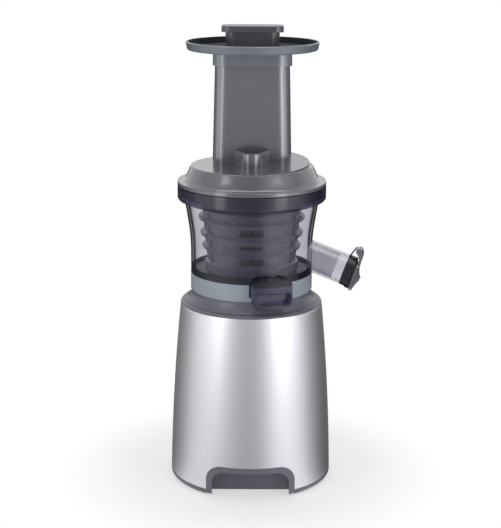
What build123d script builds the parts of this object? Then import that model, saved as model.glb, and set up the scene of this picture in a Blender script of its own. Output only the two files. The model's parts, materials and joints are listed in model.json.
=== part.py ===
from build123d import *
import os
from math import cos, radians, sin

# Cold press juicer: an upright slow juicer with the motor in its base, a tinted
# juicing bowl on a collar, a lid with an oval feed tube, a food tray and a pusher.
# Millimetres, +Z up. The origin is on the drive axis, on the surface that the
# juicer stands on. The front faces -Y and the juice spout points to +X.

# ---------------------------------------------------------------- driving sizes
# power unit
foot_radius = 8.0
foot_height = 3.0
foot_circle = 62.0
foot_spread = 30.0
cover_lift = 1.0
cover_height = 4.0
plinth_radius = 78.0
plinth_height = 6.2
plinth_round = 4.0
skirt_height = 10.0
skirt_clearance = 0.7
skin_bottom_radius = 78.0
skin_middle_radius = 74.5
skin_top_radius = 67.5
skin_top = 176.5
skin_wall = 2.5
skin_edge_round = 4.0
shoulder_foot_radius = 63.5
shoulder_neck_radius = 57.4
shoulder_rise = 11.5
shoulder_wall = 3.0
shoulder_lip = 1.3
deck_height = 4.0
collar_radius = 58.0
collar_height = 16.0
collar_wall = 4.0
post_radius = 4.0

# arch in the front of the base
arch_width = 84.0
arch_height = 31.3
arch_corner = 15.0
arch_frame = 5.5
arch_back = 56.5
arch_wall = 2.5

# drive
motor_radius = 37.0
motor_bottom = 24.0
motor_height = 84.0
motor_wall = 2.0
rotor_radius = 26.0
rotor_height = 46.0
motor_shaft_radius = 4.0
fan_radius = 30.0
fan_height = 8.0
fan_blades = 9
fan_hub_wall = 4.0
gearbox_radius = 57.0
gearbox_wall = 3.0
gear_module = 1.25
pinion_teeth = 12
wheel_teeth = 36
gear_face = 10.0
gear_gap = 3.0
idler_pin_radius = 4.0
drive_shaft_radius = 9.0
drive_hex = 13.0
drive_shaft_rise = 43.0
bearing_height = 8.0
bearing_wall = 5.0
running_clearance = 0.05
loose_clearance = 0.3

# juicing bowl
bowl_floor = 3.0
seat_gap = 0.2
bowl_wall = 2.4
bowl_bottom_radius = 57.8
bowl_straight_rise = 18.0
bowl_waist_radius = 58.7
bowl_waist_rise = 38.0
bowl_top_radius = 63.6
bowl_flange_radius = 70.2
bowl_flange_rise = 71.0
bowl_flange_height = 12.5
bowl_flange_wall = 3.0
hub_sleeve_radius = 13.0
hub_boss_wall = 3.0
seal_wall = 2.0

# pulp chute, turned towards the right of the front
chute_angle = 17.5
chute_width = 37.4
chute_wall = 2.5
chute_reach = 69.0
chute_drop = 20.3
chute_lip_drop = 4.5
chute_brow = 3.5
chute_corner = 6.5
chute_gap = 0.8
duct_drop = 11.0
pulp_port_radius = 24.0
pulp_port_width = 20.0
pulp_port_depth = 11.0

# filter drum, wiper and auger
filter_bottom_radius = 37.2
filter_top_radius = 42.8
filter_wall = 1.6
filter_rise = 68.0
filter_rim_height = 4.5
filter_rim_radius = 46.5
filter_slots = 16
slot_width = 2.5
wiper_gap = 2.6
wiper_wall = 2.0
wiper_rise = 62.0
wiper_windows = 3
wiper_window_width = 22.0
window_edge = 1.2
ridge_rises = (24.8, 37.4, 52.5)
ridge_radii = (47.0, 48.9, 50.7)
ridge_half_height = 3.0
blade_thickness = 3.0
brush_face = 5.0
brush_play = 0.5
auger_gear_teeth = 24
brush_teeth = 18
brush_pin_radius = 3.0
ring_wall = 5.2
ring_lip = 2.0
auger_clearance = 1.0
auger_foot_radius = 17.0
auger_belly_radius = 23.0
auger_belly_rise = 32.0
auger_nose_radius = 11.0
auger_rise = 80.0
auger_turns = 1.75
auger_socket_radius = 9.5
flight_nose_reach = 20.0
bush_wall = 3.0
flight_angle = 46.0
auger_pin_radius = 5.0
auger_pin_height = 12.0
hex_clearance = 0.2

# lid
lid_edge_step = 0.1
lid_flange_height = 4.5
lid_wall = 2.8
lid_foot_radius = 65.0
lid_bulge_radius = 60.9
lid_bulge_rise = 10.9
lid_disc_radius = 57.6
lid_rise = 18.8
lid_edge_round = 1.6
spigot_height = 7.0
spigot_wall = 2.5
spigot_clearance = 0.4
ramp_outer_radius = 54.0
ramp_rise = 6.6
boss_width = 33.0
boss_reach = 29.0
boss_nose_radius = 10.0
boss_wing = 5.0
boss_height = 13.5
boss_wall = 2.4
boss_recess = 5.0
boss_edge_round = 1.2

# feed tube, tray and pusher
tube_offset = 25.0
tube_top_width = 70.0
tube_bottom_width = 75.2
tube_depth = 34.0
tube_corner = 13.0
tube_wall = 2.6
tube_height = 104.7
socket_wall = 1.8
socket_clearance = 0.3
socket_height = 14.0
tray_floor_wall = 2.4
tray_radius = 63.2
tray_foot_radius = 61.4
tray_height = 8.0
tray_wall = 2.2
pusher_clearance = 0.5
pusher_rise = 23.7
stop_height = 5.0
stop_reach = 5.6
stop_width = 10.0
pusher_neck_sink = 7.0
pusher_neck_height = 24.1
pusher_neck_width = 48.5
pusher_neck_top_width = 51.0
pusher_neck_depth = 21.0
pusher_cap_width = 58.3
pusher_cap_depth = 27.0
pusher_corner = 9.0
pusher_cap_height = 5.9

# juice spout and its tap
spout_angle = -12.0
spout_tilt = 19.0
spout_rise = 17.0
spout_start = 58.3
spout_length = 34.5
spout_radius = 14.3
spout_wall = 1.6
stub_length = 24.0
stub_wall = 1.6
stub_clearance = 0.1
tap_length = 7.5
tap_radius = 14.9
tap_bore = 10.5
tap_overlap = 1.0
tap_lug_width = 6.0
tap_lug_radius = 1.9
tap_pin_radius = 1.1
tap_pin_length = 15.0
tap_pin_reach = 3.0
tap_pin_drop = 13.9
tap_ear_thickness = 3.5
catch_thickness = 1.2
catch_width = 6.0
catch_lean = 3.0
catch_rise = 24.0
seal_thickness = 1.4
seal_lap = 1.0
pad_thickness = 2.4
lever_width = 12.0
knob_lean = 5.2
knob_rise = 25.0
knob_thickness = 5.6
waist_rise = 4.0
waist_thickness = 3.0
bump_drop = 9.6
bump_thickness = 5.4

# switch and electrics
switch_height = 60.0
switch_width = 22.0
switch_tall = 30.0
switch_depth = 18.0
switch_wall = 2.0
rocker_pivot_gap = 5.0
rocker_reach = 11.0
rocker_dish = 1.5
rocker_tall = 21.0
rocker_pin_radius = 1.5
bezel_rim = 3.0
board_gap = 3.0
board_width = 60.0
board_tall = 70.0
board_depth = 8.0
board_thickness = 1.6
gland_radius = 6.0
gland_height = 28.0
screw_radius = 1.8
screw_head_radius = 3.4
screw_circle = 66.0

# ------------------------------------------------- heights, each from what it stands on
shoulder_top = skin_top + shoulder_rise
drive_shaft_top = shoulder_top + drive_shaft_rise
collar_top = shoulder_top + collar_height
chute_bottom = collar_top - chute_drop
chute_lip = collar_top - chute_lip_drop
spout_height = collar_top + spout_rise
bowl_straight_top = collar_top + bowl_straight_rise
bowl_waist_height = collar_top + bowl_waist_rise
bowl_flange_bottom = collar_top + bowl_flange_rise
bowl_flange_top = bowl_flange_bottom + bowl_flange_height
filter_top = collar_top + filter_rise
wiper_top = collar_top + wiper_rise
ridge_heights = [collar_top + rise for rise in ridge_rises]
auger_belly_height = collar_top + auger_belly_rise
auger_top = collar_top + auger_rise
lid_bulge_height = bowl_flange_top + lid_bulge_rise
lid_top = bowl_flange_top + lid_rise
pusher_bottom = lid_top + pusher_rise
tube_top = lid_top + tube_height
pusher_neck_bottom = tube_top - pusher_neck_sink
pusher_cap_bottom = pusher_neck_bottom + pusher_neck_height
pusher_top = pusher_cap_bottom + pusher_cap_height

# ------------------------------------------------------------------- helpers
parts = {}


def keep(name, part):
    """Label a finished piece and note it for export."""
    part.label = name
    parts[name] = part


def disc(height, outer, inner=0.0, centre=(0.0, 0.0)):
    """A flat disc or ring at a height, for extruding."""
    with BuildSketch(Plane.XY.offset(height)) as sketch:
        with Locations(centre):
            Circle(outer)
            if inner > 0:
                Circle(inner, mode=Mode.SUBTRACT)
    return sketch.sketch


def turned(*corners):
    """A closed profile of radius and height corners, for revolving about Z."""
    with BuildSketch(Plane.XZ) as sketch:
        with BuildLine():
            Polyline(*corners, close=True)
        make_face()
    return sketch.sketch


def oval(height, width, depth, corner):
    """The feed tube's rounded section at a height."""
    with BuildSketch(Plane.XY.offset(height)) as sketch:
        with Locations((0, tube_offset)):
            RectangleRounded(width, depth, min(corner, width / 2.05, depth / 2.05))
    return sketch.sketch


def tube_solid(inset, bottom, top, mode=Mode.ADD):
    """The feed tube's outside, or its bore with an inset, between two heights."""
    taper = (tube_top_width - tube_bottom_width) / (tube_top - lid_top)
    low_width = tube_bottom_width + taper * (bottom - lid_top)
    high_width = tube_bottom_width + taper * (top - lid_top)
    low = oval(bottom, low_width - 2 * inset, tube_depth - 2 * inset, tube_corner - inset)
    high = oval(top, high_width - 2 * inset, tube_depth - 2 * inset, tube_corner - inset)
    return loft([low.face(), high.face()], mode=mode)


def toothed(height, teeth, bore=0.0, centre=(0.0, 0.0), phase=0.0):
    """A spur gear's outline: a root disc with straight-sided teeth."""
    pitch_radius = gear_module * teeth / 2
    root = pitch_radius - 1.2 * gear_module
    tip = pitch_radius + 0.75 * gear_module
    half_pitch = 180 / teeth
    with BuildSketch(Plane.XY.offset(height)) as sketch:
        with Locations(centre):
            Circle(root)
            with Locations(Location((0, 0), phase)):
                with PolarLocations(0, teeth):
                    Polygon(
                        (root * 0.97, -root * sin(radians(half_pitch * 0.62))),
                        (tip, -tip * sin(radians(half_pitch * 0.22))),
                        (tip, tip * sin(radians(half_pitch * 0.22))),
                        (root * 0.97, root * sin(radians(half_pitch * 0.62))),
                        align=None,
                    )
            if bore > 0:
                Circle(bore, mode=Mode.SUBTRACT)
    return sketch.sketch


# ---------------------------------------------------------------- power unit
skirt_radius = skin_bottom_radius - skin_wall - skirt_clearance


def skin_profile(inset, bottom=plinth_height):
    """The base's barrel-shaped outline, closed to the axis."""
    middle = (plinth_height + skin_top) / 2
    with BuildSketch(Plane.XZ) as sketch:
        with BuildLine():
            ThreePointArc(
                (skin_bottom_radius - inset, plinth_height),
                (skin_middle_radius - inset, middle),
                (skin_top_radius - inset, skin_top),
            )
            Line((skin_top_radius - inset, skin_top), (0, skin_top))
            if bottom < plinth_height:
                low_radius = skin_bottom_radius - inset
                Line((0, skin_top), (0, bottom))
                Line((0, bottom), (low_radius - plinth_round, bottom))
                CenterArc((low_radius - plinth_round, bottom + plinth_round), plinth_round, -90, 90)
                Line((low_radius, bottom + plinth_round), (low_radius, plinth_height))
            else:
                Polyline((0, skin_top), (0, bottom), (skin_bottom_radius - inset, bottom))
        make_face()
    return sketch.sketch


def arch(inset, bottom):
    """The arch in the base's front, seen from the front."""
    with BuildSketch(Plane.XZ.offset(arch_back - arch_wall)) as sketch:
        width = arch_width - 2 * inset
        top = arch_height - inset
        with BuildLine():
            FilletPolyline(
                (-width / 2, bottom),
                (-width / 2, top),
                (width / 2, top),
                (width / 2, bottom),
                radius=arch_corner - inset / 2,
            )
            Line((width / 2, bottom), (-width / 2, bottom))
        make_face()
    return sketch.sketch


arch_run = plinth_radius - arch_back + arch_wall + 2
deck_bottom = shoulder_top - deck_height
bearing_radius = drive_shaft_radius + running_clearance + bearing_wall

with BuildPart() as outer_skin:
    revolve(skin_profile(0), axis=Axis.Z)
    fillet(outer_skin.edges().group_by(Axis.Z)[-1], skin_edge_round)
    revolve(skin_profile(skin_wall), axis=Axis.Z, mode=Mode.SUBTRACT)
    extrude(disc(skin_top - skin_wall, shoulder_foot_radius), amount=skin_wall + 1, mode=Mode.SUBTRACT)
    extrude(arch(0, 0), amount=arch_run, mode=Mode.SUBTRACT)
    with BuildSketch(Plane.XZ.offset(-plinth_radius)) as switch_hole:
        with Locations((0, switch_height)):
            Rectangle(switch_width, switch_tall)
    extrude(switch_hole.sketch, amount=plinth_radius / 2, mode=Mode.SUBTRACT)
    with BuildSketch(Plane.XZ.offset(-plinth_radius)) as gland_hole:
        with Locations((0, gland_height)):
            Circle(gland_radius)
    extrude(gland_hole.sketch, amount=plinth_radius / 2, mode=Mode.SUBTRACT)

keep("outer_skin", outer_skin.part)

shelf_bottom = cover_lift + cover_height
shelf_radius = foot_circle - foot_radius - 4
cover_radius = plinth_radius - 6.5
foot_angles = (foot_spread, -foot_spread, 180 - foot_spread, 180 + foot_spread)
foot_places = [(foot_circle * cos(radians(a)), foot_circle * sin(radians(a))) for a in foot_angles]

with BuildPart() as plinth:
    revolve(
        turned(
            (cover_radius + loose_clearance, 0),
            (plinth_radius, 0),
            (plinth_radius, plinth_height),
            (skirt_radius, plinth_height),
            (skirt_radius, plinth_height + skirt_height),
            (skirt_radius - skin_wall, plinth_height + skirt_height),
            (skirt_radius - skin_wall, shelf_bottom + skin_wall),
            (shelf_radius, shelf_bottom + skin_wall),
            (shelf_radius, shelf_bottom),
            (cover_radius + loose_clearance, shelf_bottom),
        ),
        axis=Axis.Z,
    )
    outer_edges = plinth.edges().filter_by(GeomType.CIRCLE).group_by(SortBy.RADIUS)[-1]
    fillet(outer_edges.sort_by(Axis.Z)[0], plinth_round)
    extrude(arch(0, -1), amount=arch_run, mode=Mode.SUBTRACT)
    with Locations((0, 0, shelf_bottom)):
        with PolarLocations(screw_circle, 4, 0, 180, endpoint=True):
            Hole(screw_radius, depth=skin_wall * 2)
keep("plinth", plinth.part)

with BuildPart() as arch_liner:
    extrude(arch(0, cover_lift), amount=arch_run)
    extrude(arch(arch_frame, 0), amount=arch_run, mode=Mode.SUBTRACT)
    with BuildSketch(Plane.XZ.offset(arch_back - arch_wall)) as back_wall:
        with Locations((0, arch_height / 2)):
            Rectangle(arch_width - arch_frame, arch_height - arch_frame)
    extrude(back_wall.sketch, amount=arch_wall)
    revolve(skin_profile(-0.4, bottom=cover_lift), axis=Axis.Z, mode=Mode.INTERSECT)
keep("arch_liner", arch_liner.part)

with BuildPart() as bottom_cover:
    extrude(disc(cover_lift, cover_radius), amount=cover_height)
    extrude(arch(0, -1), amount=arch_run, mode=Mode.SUBTRACT)
    with BuildSketch(Plane.XY.offset(cover_lift)) as cooling_slots:
        with GridLocations(9, 34, 7, 2):
            SlotOverall(24, 4, rotation=90)
    extrude(cooling_slots.sketch, amount=cover_height, mode=Mode.SUBTRACT)
    for place in foot_places:
        extrude(disc(0, foot_radius, centre=place), amount=foot_height, mode=Mode.SUBTRACT)
    with Locations((0, 0, cover_lift)):
        with PolarLocations(screw_circle, 4, 0, 180, endpoint=True):
            CounterBoreHole(screw_radius, screw_head_radius, 2, depth=cover_height)
keep("bottom_cover", bottom_cover.part)

with BuildPart() as feet:
    for place in foot_places:
        extrude(disc(0, foot_radius, centre=place), amount=foot_height)
    fillet(feet.edges().group_by(Axis.Z)[0], foot_height / 4)
keep("feet", feet.part)

with BuildPart() as cover_screws:
    with Locations((0, 0, cover_lift)):
        with PolarLocations(screw_circle, 4, 0, 180, endpoint=True):
            Cylinder(screw_head_radius, 2, align=(Align.CENTER, Align.CENTER, Align.MIN))
            Cylinder(screw_radius, cover_height + skin_wall, align=(Align.CENTER, Align.CENTER, Align.MIN))
keep("cover_screws", cover_screws.part)

gearbox_bottom = motor_bottom + motor_height
stage_one = gearbox_bottom + gearbox_wall + gear_gap
stage_two = stage_one + gear_face + gear_gap
gearbox_rim = stage_two + gear_face + gear_gap
gearbox_top = gearbox_rim + gearbox_wall
gear_distance = gear_module * (pinion_teeth + wheel_teeth) / 2

with BuildPart() as top_shoulder:
    with BuildSketch(Plane.XZ) as flare:
        with BuildLine():
            foot = (shoulder_foot_radius, skin_top)
            neck = (shoulder_neck_radius, shoulder_top - 2)
            Spline(foot, (shoulder_neck_radius + 1.5, skin_top + 5), neck, tangents=((-1, 0.35), (0, 1)))
            Polyline(
                neck,
                (shoulder_neck_radius, shoulder_top),
                (bearing_radius, shoulder_top),
                (bearing_radius, deck_bottom),
                (shoulder_neck_radius - shoulder_wall, deck_bottom),
                (shoulder_neck_radius - shoulder_wall, skin_top - skin_wall - shoulder_wall),
                (shoulder_foot_radius + shoulder_lip, skin_top - skin_wall - shoulder_wall),
                (shoulder_foot_radius + shoulder_lip, skin_top - skin_wall),
                (shoulder_foot_radius, skin_top - skin_wall),
                foot,
            )
        make_face()
    revolve(flare.sketch, axis=Axis.Z)
    with BuildSketch(Plane.XY.offset(gearbox_top)) as posts:
        with PolarLocations(shoulder_neck_radius - shoulder_wall - post_radius * 0.7, 4, 45):
            Circle(post_radius)
    extrude(posts.sketch, amount=deck_bottom - gearbox_top)
keep("top_shoulder", top_shoulder.part)

chute_side = Vector(sin(radians(chute_angle)), -cos(radians(chute_angle)), 0)
chute_across = Vector(cos(radians(chute_angle)), sin(radians(chute_angle)), 0)


def chute_block(start, reach, width, bottom, top, corner=0.0):
    """A box that runs outwards along the pulp chute's direction."""
    with BuildSketch(Plane(origin=chute_side * start, x_dir=chute_across, z_dir=chute_side)) as sketch:
        with Locations((0, (bottom + top) / 2)):
            if corner > 0:
                RectangleRounded(width, top - bottom, corner)
            else:
                Rectangle(width, top - bottom)
    return extrude(sketch.sketch, amount=reach, mode=Mode.PRIVATE)


bowl_bottom = collar_top + seat_gap
duct_bottom = bowl_bottom - duct_drop

with BuildPart() as bowl_collar:
    extrude(
        disc(shoulder_top, collar_radius, collar_radius - collar_wall),
        amount=collar_top - shoulder_top,
    )
    add(
        chute_block(
            hub_sleeve_radius,
            collar_radius,
            chute_width + 2 * chute_gap,
            duct_bottom - chute_gap,
            collar_top + 1,
        ),
        mode=Mode.SUBTRACT,
    )
keep("bowl_collar", bowl_collar.part)

# ---------------------------------------------------------------- motor and gears
shaft_bore = motor_shaft_radius + running_clearance

with BuildPart() as motor_can:
    extrude(disc(motor_bottom, motor_radius), amount=motor_height)
    extrude(
        disc(motor_bottom + motor_wall, motor_radius - motor_wall),
        amount=motor_height - 2 * motor_wall,
        mode=Mode.SUBTRACT,
    )
    extrude(disc(motor_bottom, shaft_bore), amount=motor_height, mode=Mode.SUBTRACT)
    with BuildSketch(Plane.XY.offset(motor_bottom)) as vents:
        with PolarLocations((motor_radius + shaft_bore) / 2, 8):
            SlotOverall(motor_radius / 2.5, 4)
    extrude(vents.sketch, amount=motor_wall, mode=Mode.SUBTRACT)
keep("motor_can", motor_can.part)

stator_bottom = motor_bottom + motor_wall + fan_height + 2 * gear_gap

with BuildPart() as motor_stator:
    extrude(disc(stator_bottom, motor_radius - motor_wall, rotor_radius + 1), amount=rotor_height)
    with BuildSketch(Plane.XY.offset(stator_bottom)) as winding_slots:
        with PolarLocations(rotor_radius + 1, 12):
            Rectangle(6, 3)
    extrude(winding_slots.sketch, amount=rotor_height, mode=Mode.SUBTRACT)
keep("motor_stator", motor_stator.part)

with BuildPart() as motor_rotor:
    extrude(disc(motor_bottom, motor_shaft_radius), amount=stage_one + gear_face - motor_bottom)
    extrude(disc(stator_bottom, rotor_radius), amount=rotor_height)
    with BuildSketch(Plane.XY.offset(stator_bottom)) as rotor_slots:
        with PolarLocations(rotor_radius, 12):
            Rectangle(6, 2)
    extrude(rotor_slots.sketch, amount=rotor_height, mode=Mode.SUBTRACT)
keep("motor_rotor", motor_rotor.part)

fan_bottom = motor_bottom + motor_wall + gear_gap

with BuildPart() as cooling_fan:
    extrude(disc(fan_bottom, motor_shaft_radius + fan_hub_wall, motor_shaft_radius), amount=fan_height)
    extrude(disc(fan_bottom, fan_radius, motor_shaft_radius), amount=1.5)
    with BuildSketch(Plane.XY.offset(fan_bottom)) as blades:
        with PolarLocations((fan_radius + motor_shaft_radius + fan_hub_wall) / 2 - 1, fan_blades):
            Rectangle(fan_radius - motor_shaft_radius - fan_hub_wall, 1.6)
    extrude(blades.sketch, amount=fan_height)
keep("cooling_fan", cooling_fan.part)

with BuildPart() as motor_pinion:
    extrude(
        toothed(stage_one, pinion_teeth, motor_shaft_radius, phase=180 / pinion_teeth),
        amount=gear_face,
    )
keep("motor_pinion", motor_pinion.part)

idler_place = (gear_distance, 0)

with BuildPart() as gearbox_housing:
    extrude(disc(gearbox_bottom, gearbox_radius), amount=gearbox_rim - gearbox_bottom)
    extrude(
        disc(gearbox_bottom + gearbox_wall, gearbox_radius - gearbox_wall),
        amount=gearbox_rim - gearbox_bottom,
        mode=Mode.SUBTRACT,
    )
    extrude(disc(gearbox_bottom, shaft_bore), amount=gearbox_wall, mode=Mode.SUBTRACT)
    extrude(
        disc(gearbox_bottom, idler_pin_radius, centre=idler_place),
        amount=gearbox_rim - gearbox_bottom,
    )
keep("gearbox_housing", gearbox_housing.part)

with BuildPart() as idler_gear:
    bore = idler_pin_radius + running_clearance
    extrude(toothed(stage_one, wheel_teeth, bore, centre=idler_place), amount=gear_face)
    extrude(disc(stage_one, idler_pin_radius + 3, bore, centre=idler_place), amount=gear_face + gear_gap)
    extrude(
        toothed(stage_two, pinion_teeth, bore, centre=idler_place, phase=180 / pinion_teeth),
        amount=gear_face,
    )
keep("idler_gear", idler_gear.part)

with BuildPart() as output_gear:
    extrude(toothed(stage_two, wheel_teeth, drive_shaft_radius), amount=gear_face)
keep("output_gear", output_gear.part)

with BuildPart() as gearbox_cover:
    extrude(disc(gearbox_rim, gearbox_radius, bearing_radius), amount=gearbox_wall)
keep("gearbox_cover", gearbox_cover.part)

with BuildPart() as drive_shaft:
    extrude(disc(stage_two, drive_shaft_radius), amount=shoulder_top + 2 - stage_two)
    with BuildSketch(Plane.XY.offset(shoulder_top + 2)) as hexagon:
        RegularPolygon(drive_hex / 2, 6, major_radius=False)
    extrude(hexagon.sketch, amount=drive_shaft_top - shoulder_top - 2)
    chamfer(drive_shaft.edges().group_by(Axis.Z)[-1], 1)
keep("drive_shaft", drive_shaft.part)

shaft_hole = drive_shaft_radius + running_clearance

with BuildPart() as lower_bearing:
    extrude(disc(gearbox_rim, bearing_radius, shaft_hole), amount=bearing_height)
keep("lower_bearing", lower_bearing.part)

with BuildPart() as upper_bearing:
    extrude(disc(shoulder_top - bearing_height, bearing_radius, shaft_hole), amount=bearing_height)
keep("upper_bearing", upper_bearing.part)

with BuildPart() as shaft_seal:
    extrude(disc(shoulder_top, bearing_radius, shaft_hole), amount=seal_wall)
    fillet(shaft_seal.edges().group_by(Axis.Z)[-1].sort_by(SortBy.RADIUS)[-1], seal_wall / 2)
keep("shaft_seal", shaft_seal.part)

# ---------------------------------------------------------------- switch and electrics
board_face = motor_radius + board_gap
board_bottom = shelf_bottom + skin_wall
housing_inner_width = switch_width - 2 * switch_wall
housing_inner_height = switch_tall - 2 * switch_wall
switch_back = skin_bottom_radius - switch_depth
rocker_axis = Axis((0, switch_back + switch_wall + rocker_pivot_gap, switch_height), (1, 0, 0))

with BuildPart() as circuit_board:
    with BuildSketch(Plane.XZ.offset(-board_face)) as board_outline:
        with Locations((0, board_bottom + board_tall / 2)):
            Rectangle(board_width, board_tall)
    extrude(board_outline.sketch, amount=-board_thickness)
    with BuildSketch(Plane.XZ.offset(-board_face - board_thickness)) as relays:
        with Locations((0, board_bottom + board_tall / 3)):
            with GridLocations(board_width / 3, 1, 3, 1):
                Rectangle(board_width / 5, board_tall / 4)
    extrude(relays.sketch, amount=-board_depth)
keep("circuit_board", circuit_board.part)

with BuildPart() as switch_housing:
    with BuildSketch(Plane.XZ.offset(-switch_back)) as housing_outline:
        with Locations((0, switch_height)):
            Rectangle(switch_width, switch_tall)
    extrude(housing_outline.sketch, amount=-switch_depth)
    with BuildSketch(Plane.XZ.offset(-skin_middle_radius + bezel_rim)) as bezel_outline:
        with Locations((0, switch_height)):
            RectangleRounded(switch_width + 2 * bezel_rim, switch_tall + 2 * bezel_rim, bezel_rim)
    extrude(bezel_outline.sketch, amount=-2 * bezel_rim)
    revolve(skin_profile(0), axis=Axis.Z, mode=Mode.SUBTRACT)
    extrude(housing_outline.sketch, amount=-switch_depth)
    with BuildSketch(Plane.XZ.offset(-switch_back - switch_wall)) as housing_hollow:
        with Locations((0, switch_height)):
            Rectangle(housing_inner_width, housing_inner_height)
    extrude(housing_hollow.sketch, amount=-switch_depth - bezel_rim, mode=Mode.SUBTRACT)
    with BuildSketch(Plane.YZ.offset(-switch_width / 2)) as pivot_hole:
        with Locations((rocker_axis.position.Y, switch_height)):
            Circle(rocker_pin_radius + running_clearance)
    extrude(pivot_hole.sketch, amount=switch_width, mode=Mode.SUBTRACT)
keep("switch_housing", switch_housing.part)

with BuildPart() as switch_rocker:
    rocker_width = housing_inner_width - 2 * loose_clearance
    with BuildSketch(Plane.YZ.offset(-rocker_width / 2)) as rocker_side:
        pivot = rocker_axis.position.Y
        with BuildLine():
            Polyline(
                (pivot - rocker_pin_radius - 1, switch_height - rocker_tall / 4),
                (pivot + rocker_reach, switch_height - rocker_tall / 2),
                (pivot + rocker_reach - rocker_dish, switch_height),
                (pivot + rocker_reach, switch_height + rocker_tall / 2),
                (pivot - rocker_pin_radius - 1, switch_height + rocker_tall / 4),
                close=True,
            )
        make_face()
    extrude(rocker_side.sketch, amount=rocker_width)
    with BuildSketch(Plane.YZ.offset(-switch_width / 2)) as rocker_pin:
        with Locations((rocker_axis.position.Y, switch_height)):
            Circle(rocker_pin_radius)
    extrude(rocker_pin.sketch, amount=switch_width)
keep("switch_rocker", switch_rocker.part)

with BuildPart() as cord_gland:
    with BuildSketch(Plane.XZ.offset(-skin_bottom_radius + 2 * skin_wall)) as gland_ring:
        with Locations((0, gland_height)):
            Circle(gland_radius)
    extrude(gland_ring.sketch, amount=-3 * skin_wall)
    with BuildSketch(Plane.XZ.offset(-skin_bottom_radius)) as gland_collar:
        with Locations((0, gland_height)):
            Circle(gland_radius + 2)
    extrude(gland_collar.sketch, amount=-skin_wall / 2)
    with BuildSketch(Plane.XZ.offset(-skin_bottom_radius + 2 * skin_wall)) as gland_bore:
        with Locations((0, gland_height)):
            Circle(gland_radius / 2)
    extrude(gland_bore.sketch, amount=-4 * skin_wall, mode=Mode.SUBTRACT)
keep("cord_gland", cord_gland.part)

# ---------------------------------------------------------------- juicing bowl
floor_top = bowl_bottom + bowl_floor
spout_way = Vector(
    cos(radians(spout_tilt)) * cos(radians(spout_angle)),
    cos(radians(spout_tilt)) * sin(radians(spout_angle)),
    -sin(radians(spout_tilt)),
)
spout_across = Vector(-sin(radians(spout_angle)), cos(radians(spout_angle)), 0)
spout_root = Vector(
    spout_start * cos(radians(spout_angle)), spout_start * sin(radians(spout_angle)), spout_height
)
sleeve_bore = spout_radius - spout_wall
stub_radius = sleeve_bore - stub_clearance
stub_bore = stub_radius - stub_wall
seal_bore = hub_sleeve_radius + running_clearance
hub_bore = seal_bore + seal_wall
plate_bottom = floor_top + 2 * brush_play + brush_face
plate_top = plate_bottom + filter_wall
brush_distance = gear_module * (auger_gear_teeth + brush_teeth) / 2
ring_teeth = auger_gear_teeth + 2 * brush_teeth
port_place = chute_side * pulp_port_radius


def spout_disc(along, outer, inner=0.0):
    """A disc or ring square to the spout, some way along it."""
    with BuildSketch(Plane(spout_root + spout_way * along, spout_across, spout_way)) as sketch:
        Circle(outer)
        if inner > 0:
            Circle(inner, mode=Mode.SUBTRACT)
    return sketch.sketch


def bowl_profile(inset, bottom):
    """The bowl's outside, or its inside with an inset, closed to the axis."""
    with BuildSketch(Plane.XZ) as sketch:
        with BuildLine():
            Line((0, bottom), (bowl_bottom_radius - inset, bottom))
            Line((bowl_bottom_radius - inset, bottom), (bowl_bottom_radius - inset, bowl_straight_top))
            Spline(
                (bowl_bottom_radius - inset, bowl_straight_top),
                (bowl_waist_radius - inset, bowl_waist_height),
                (bowl_top_radius - inset, bowl_flange_bottom),
                tangents=((0, 1), (0.12, 1)),
            )
            Line((bowl_top_radius - inset, bowl_flange_bottom), (0, bowl_flange_bottom))
            Line((0, bowl_flange_bottom), (0, bottom))
        make_face()
    return sketch.sketch


def port_block(bottom, height, wall):
    """The pulp port's upright box, grown by a wall on each side."""
    with BuildSketch(Plane(port_place + Vector(0, 0, bottom), chute_across, (0, 0, 1))) as sketch:
        RectangleRounded(pulp_port_width + 2 * wall, pulp_port_depth + 2 * wall, 2)
    return extrude(sketch.sketch, amount=height, mode=Mode.PRIVATE)


duct_start = hub_bore + hub_boss_wall
head_start = collar_radius + chute_gap
head_reach = chute_reach - head_start
chute_hollow = chute_width - 2 * chute_wall
hub_room_radius = bowl_bottom_radius - 3 * bowl_wall
floor_plate_radius = bowl_bottom_radius - bowl_wall / 2

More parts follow.
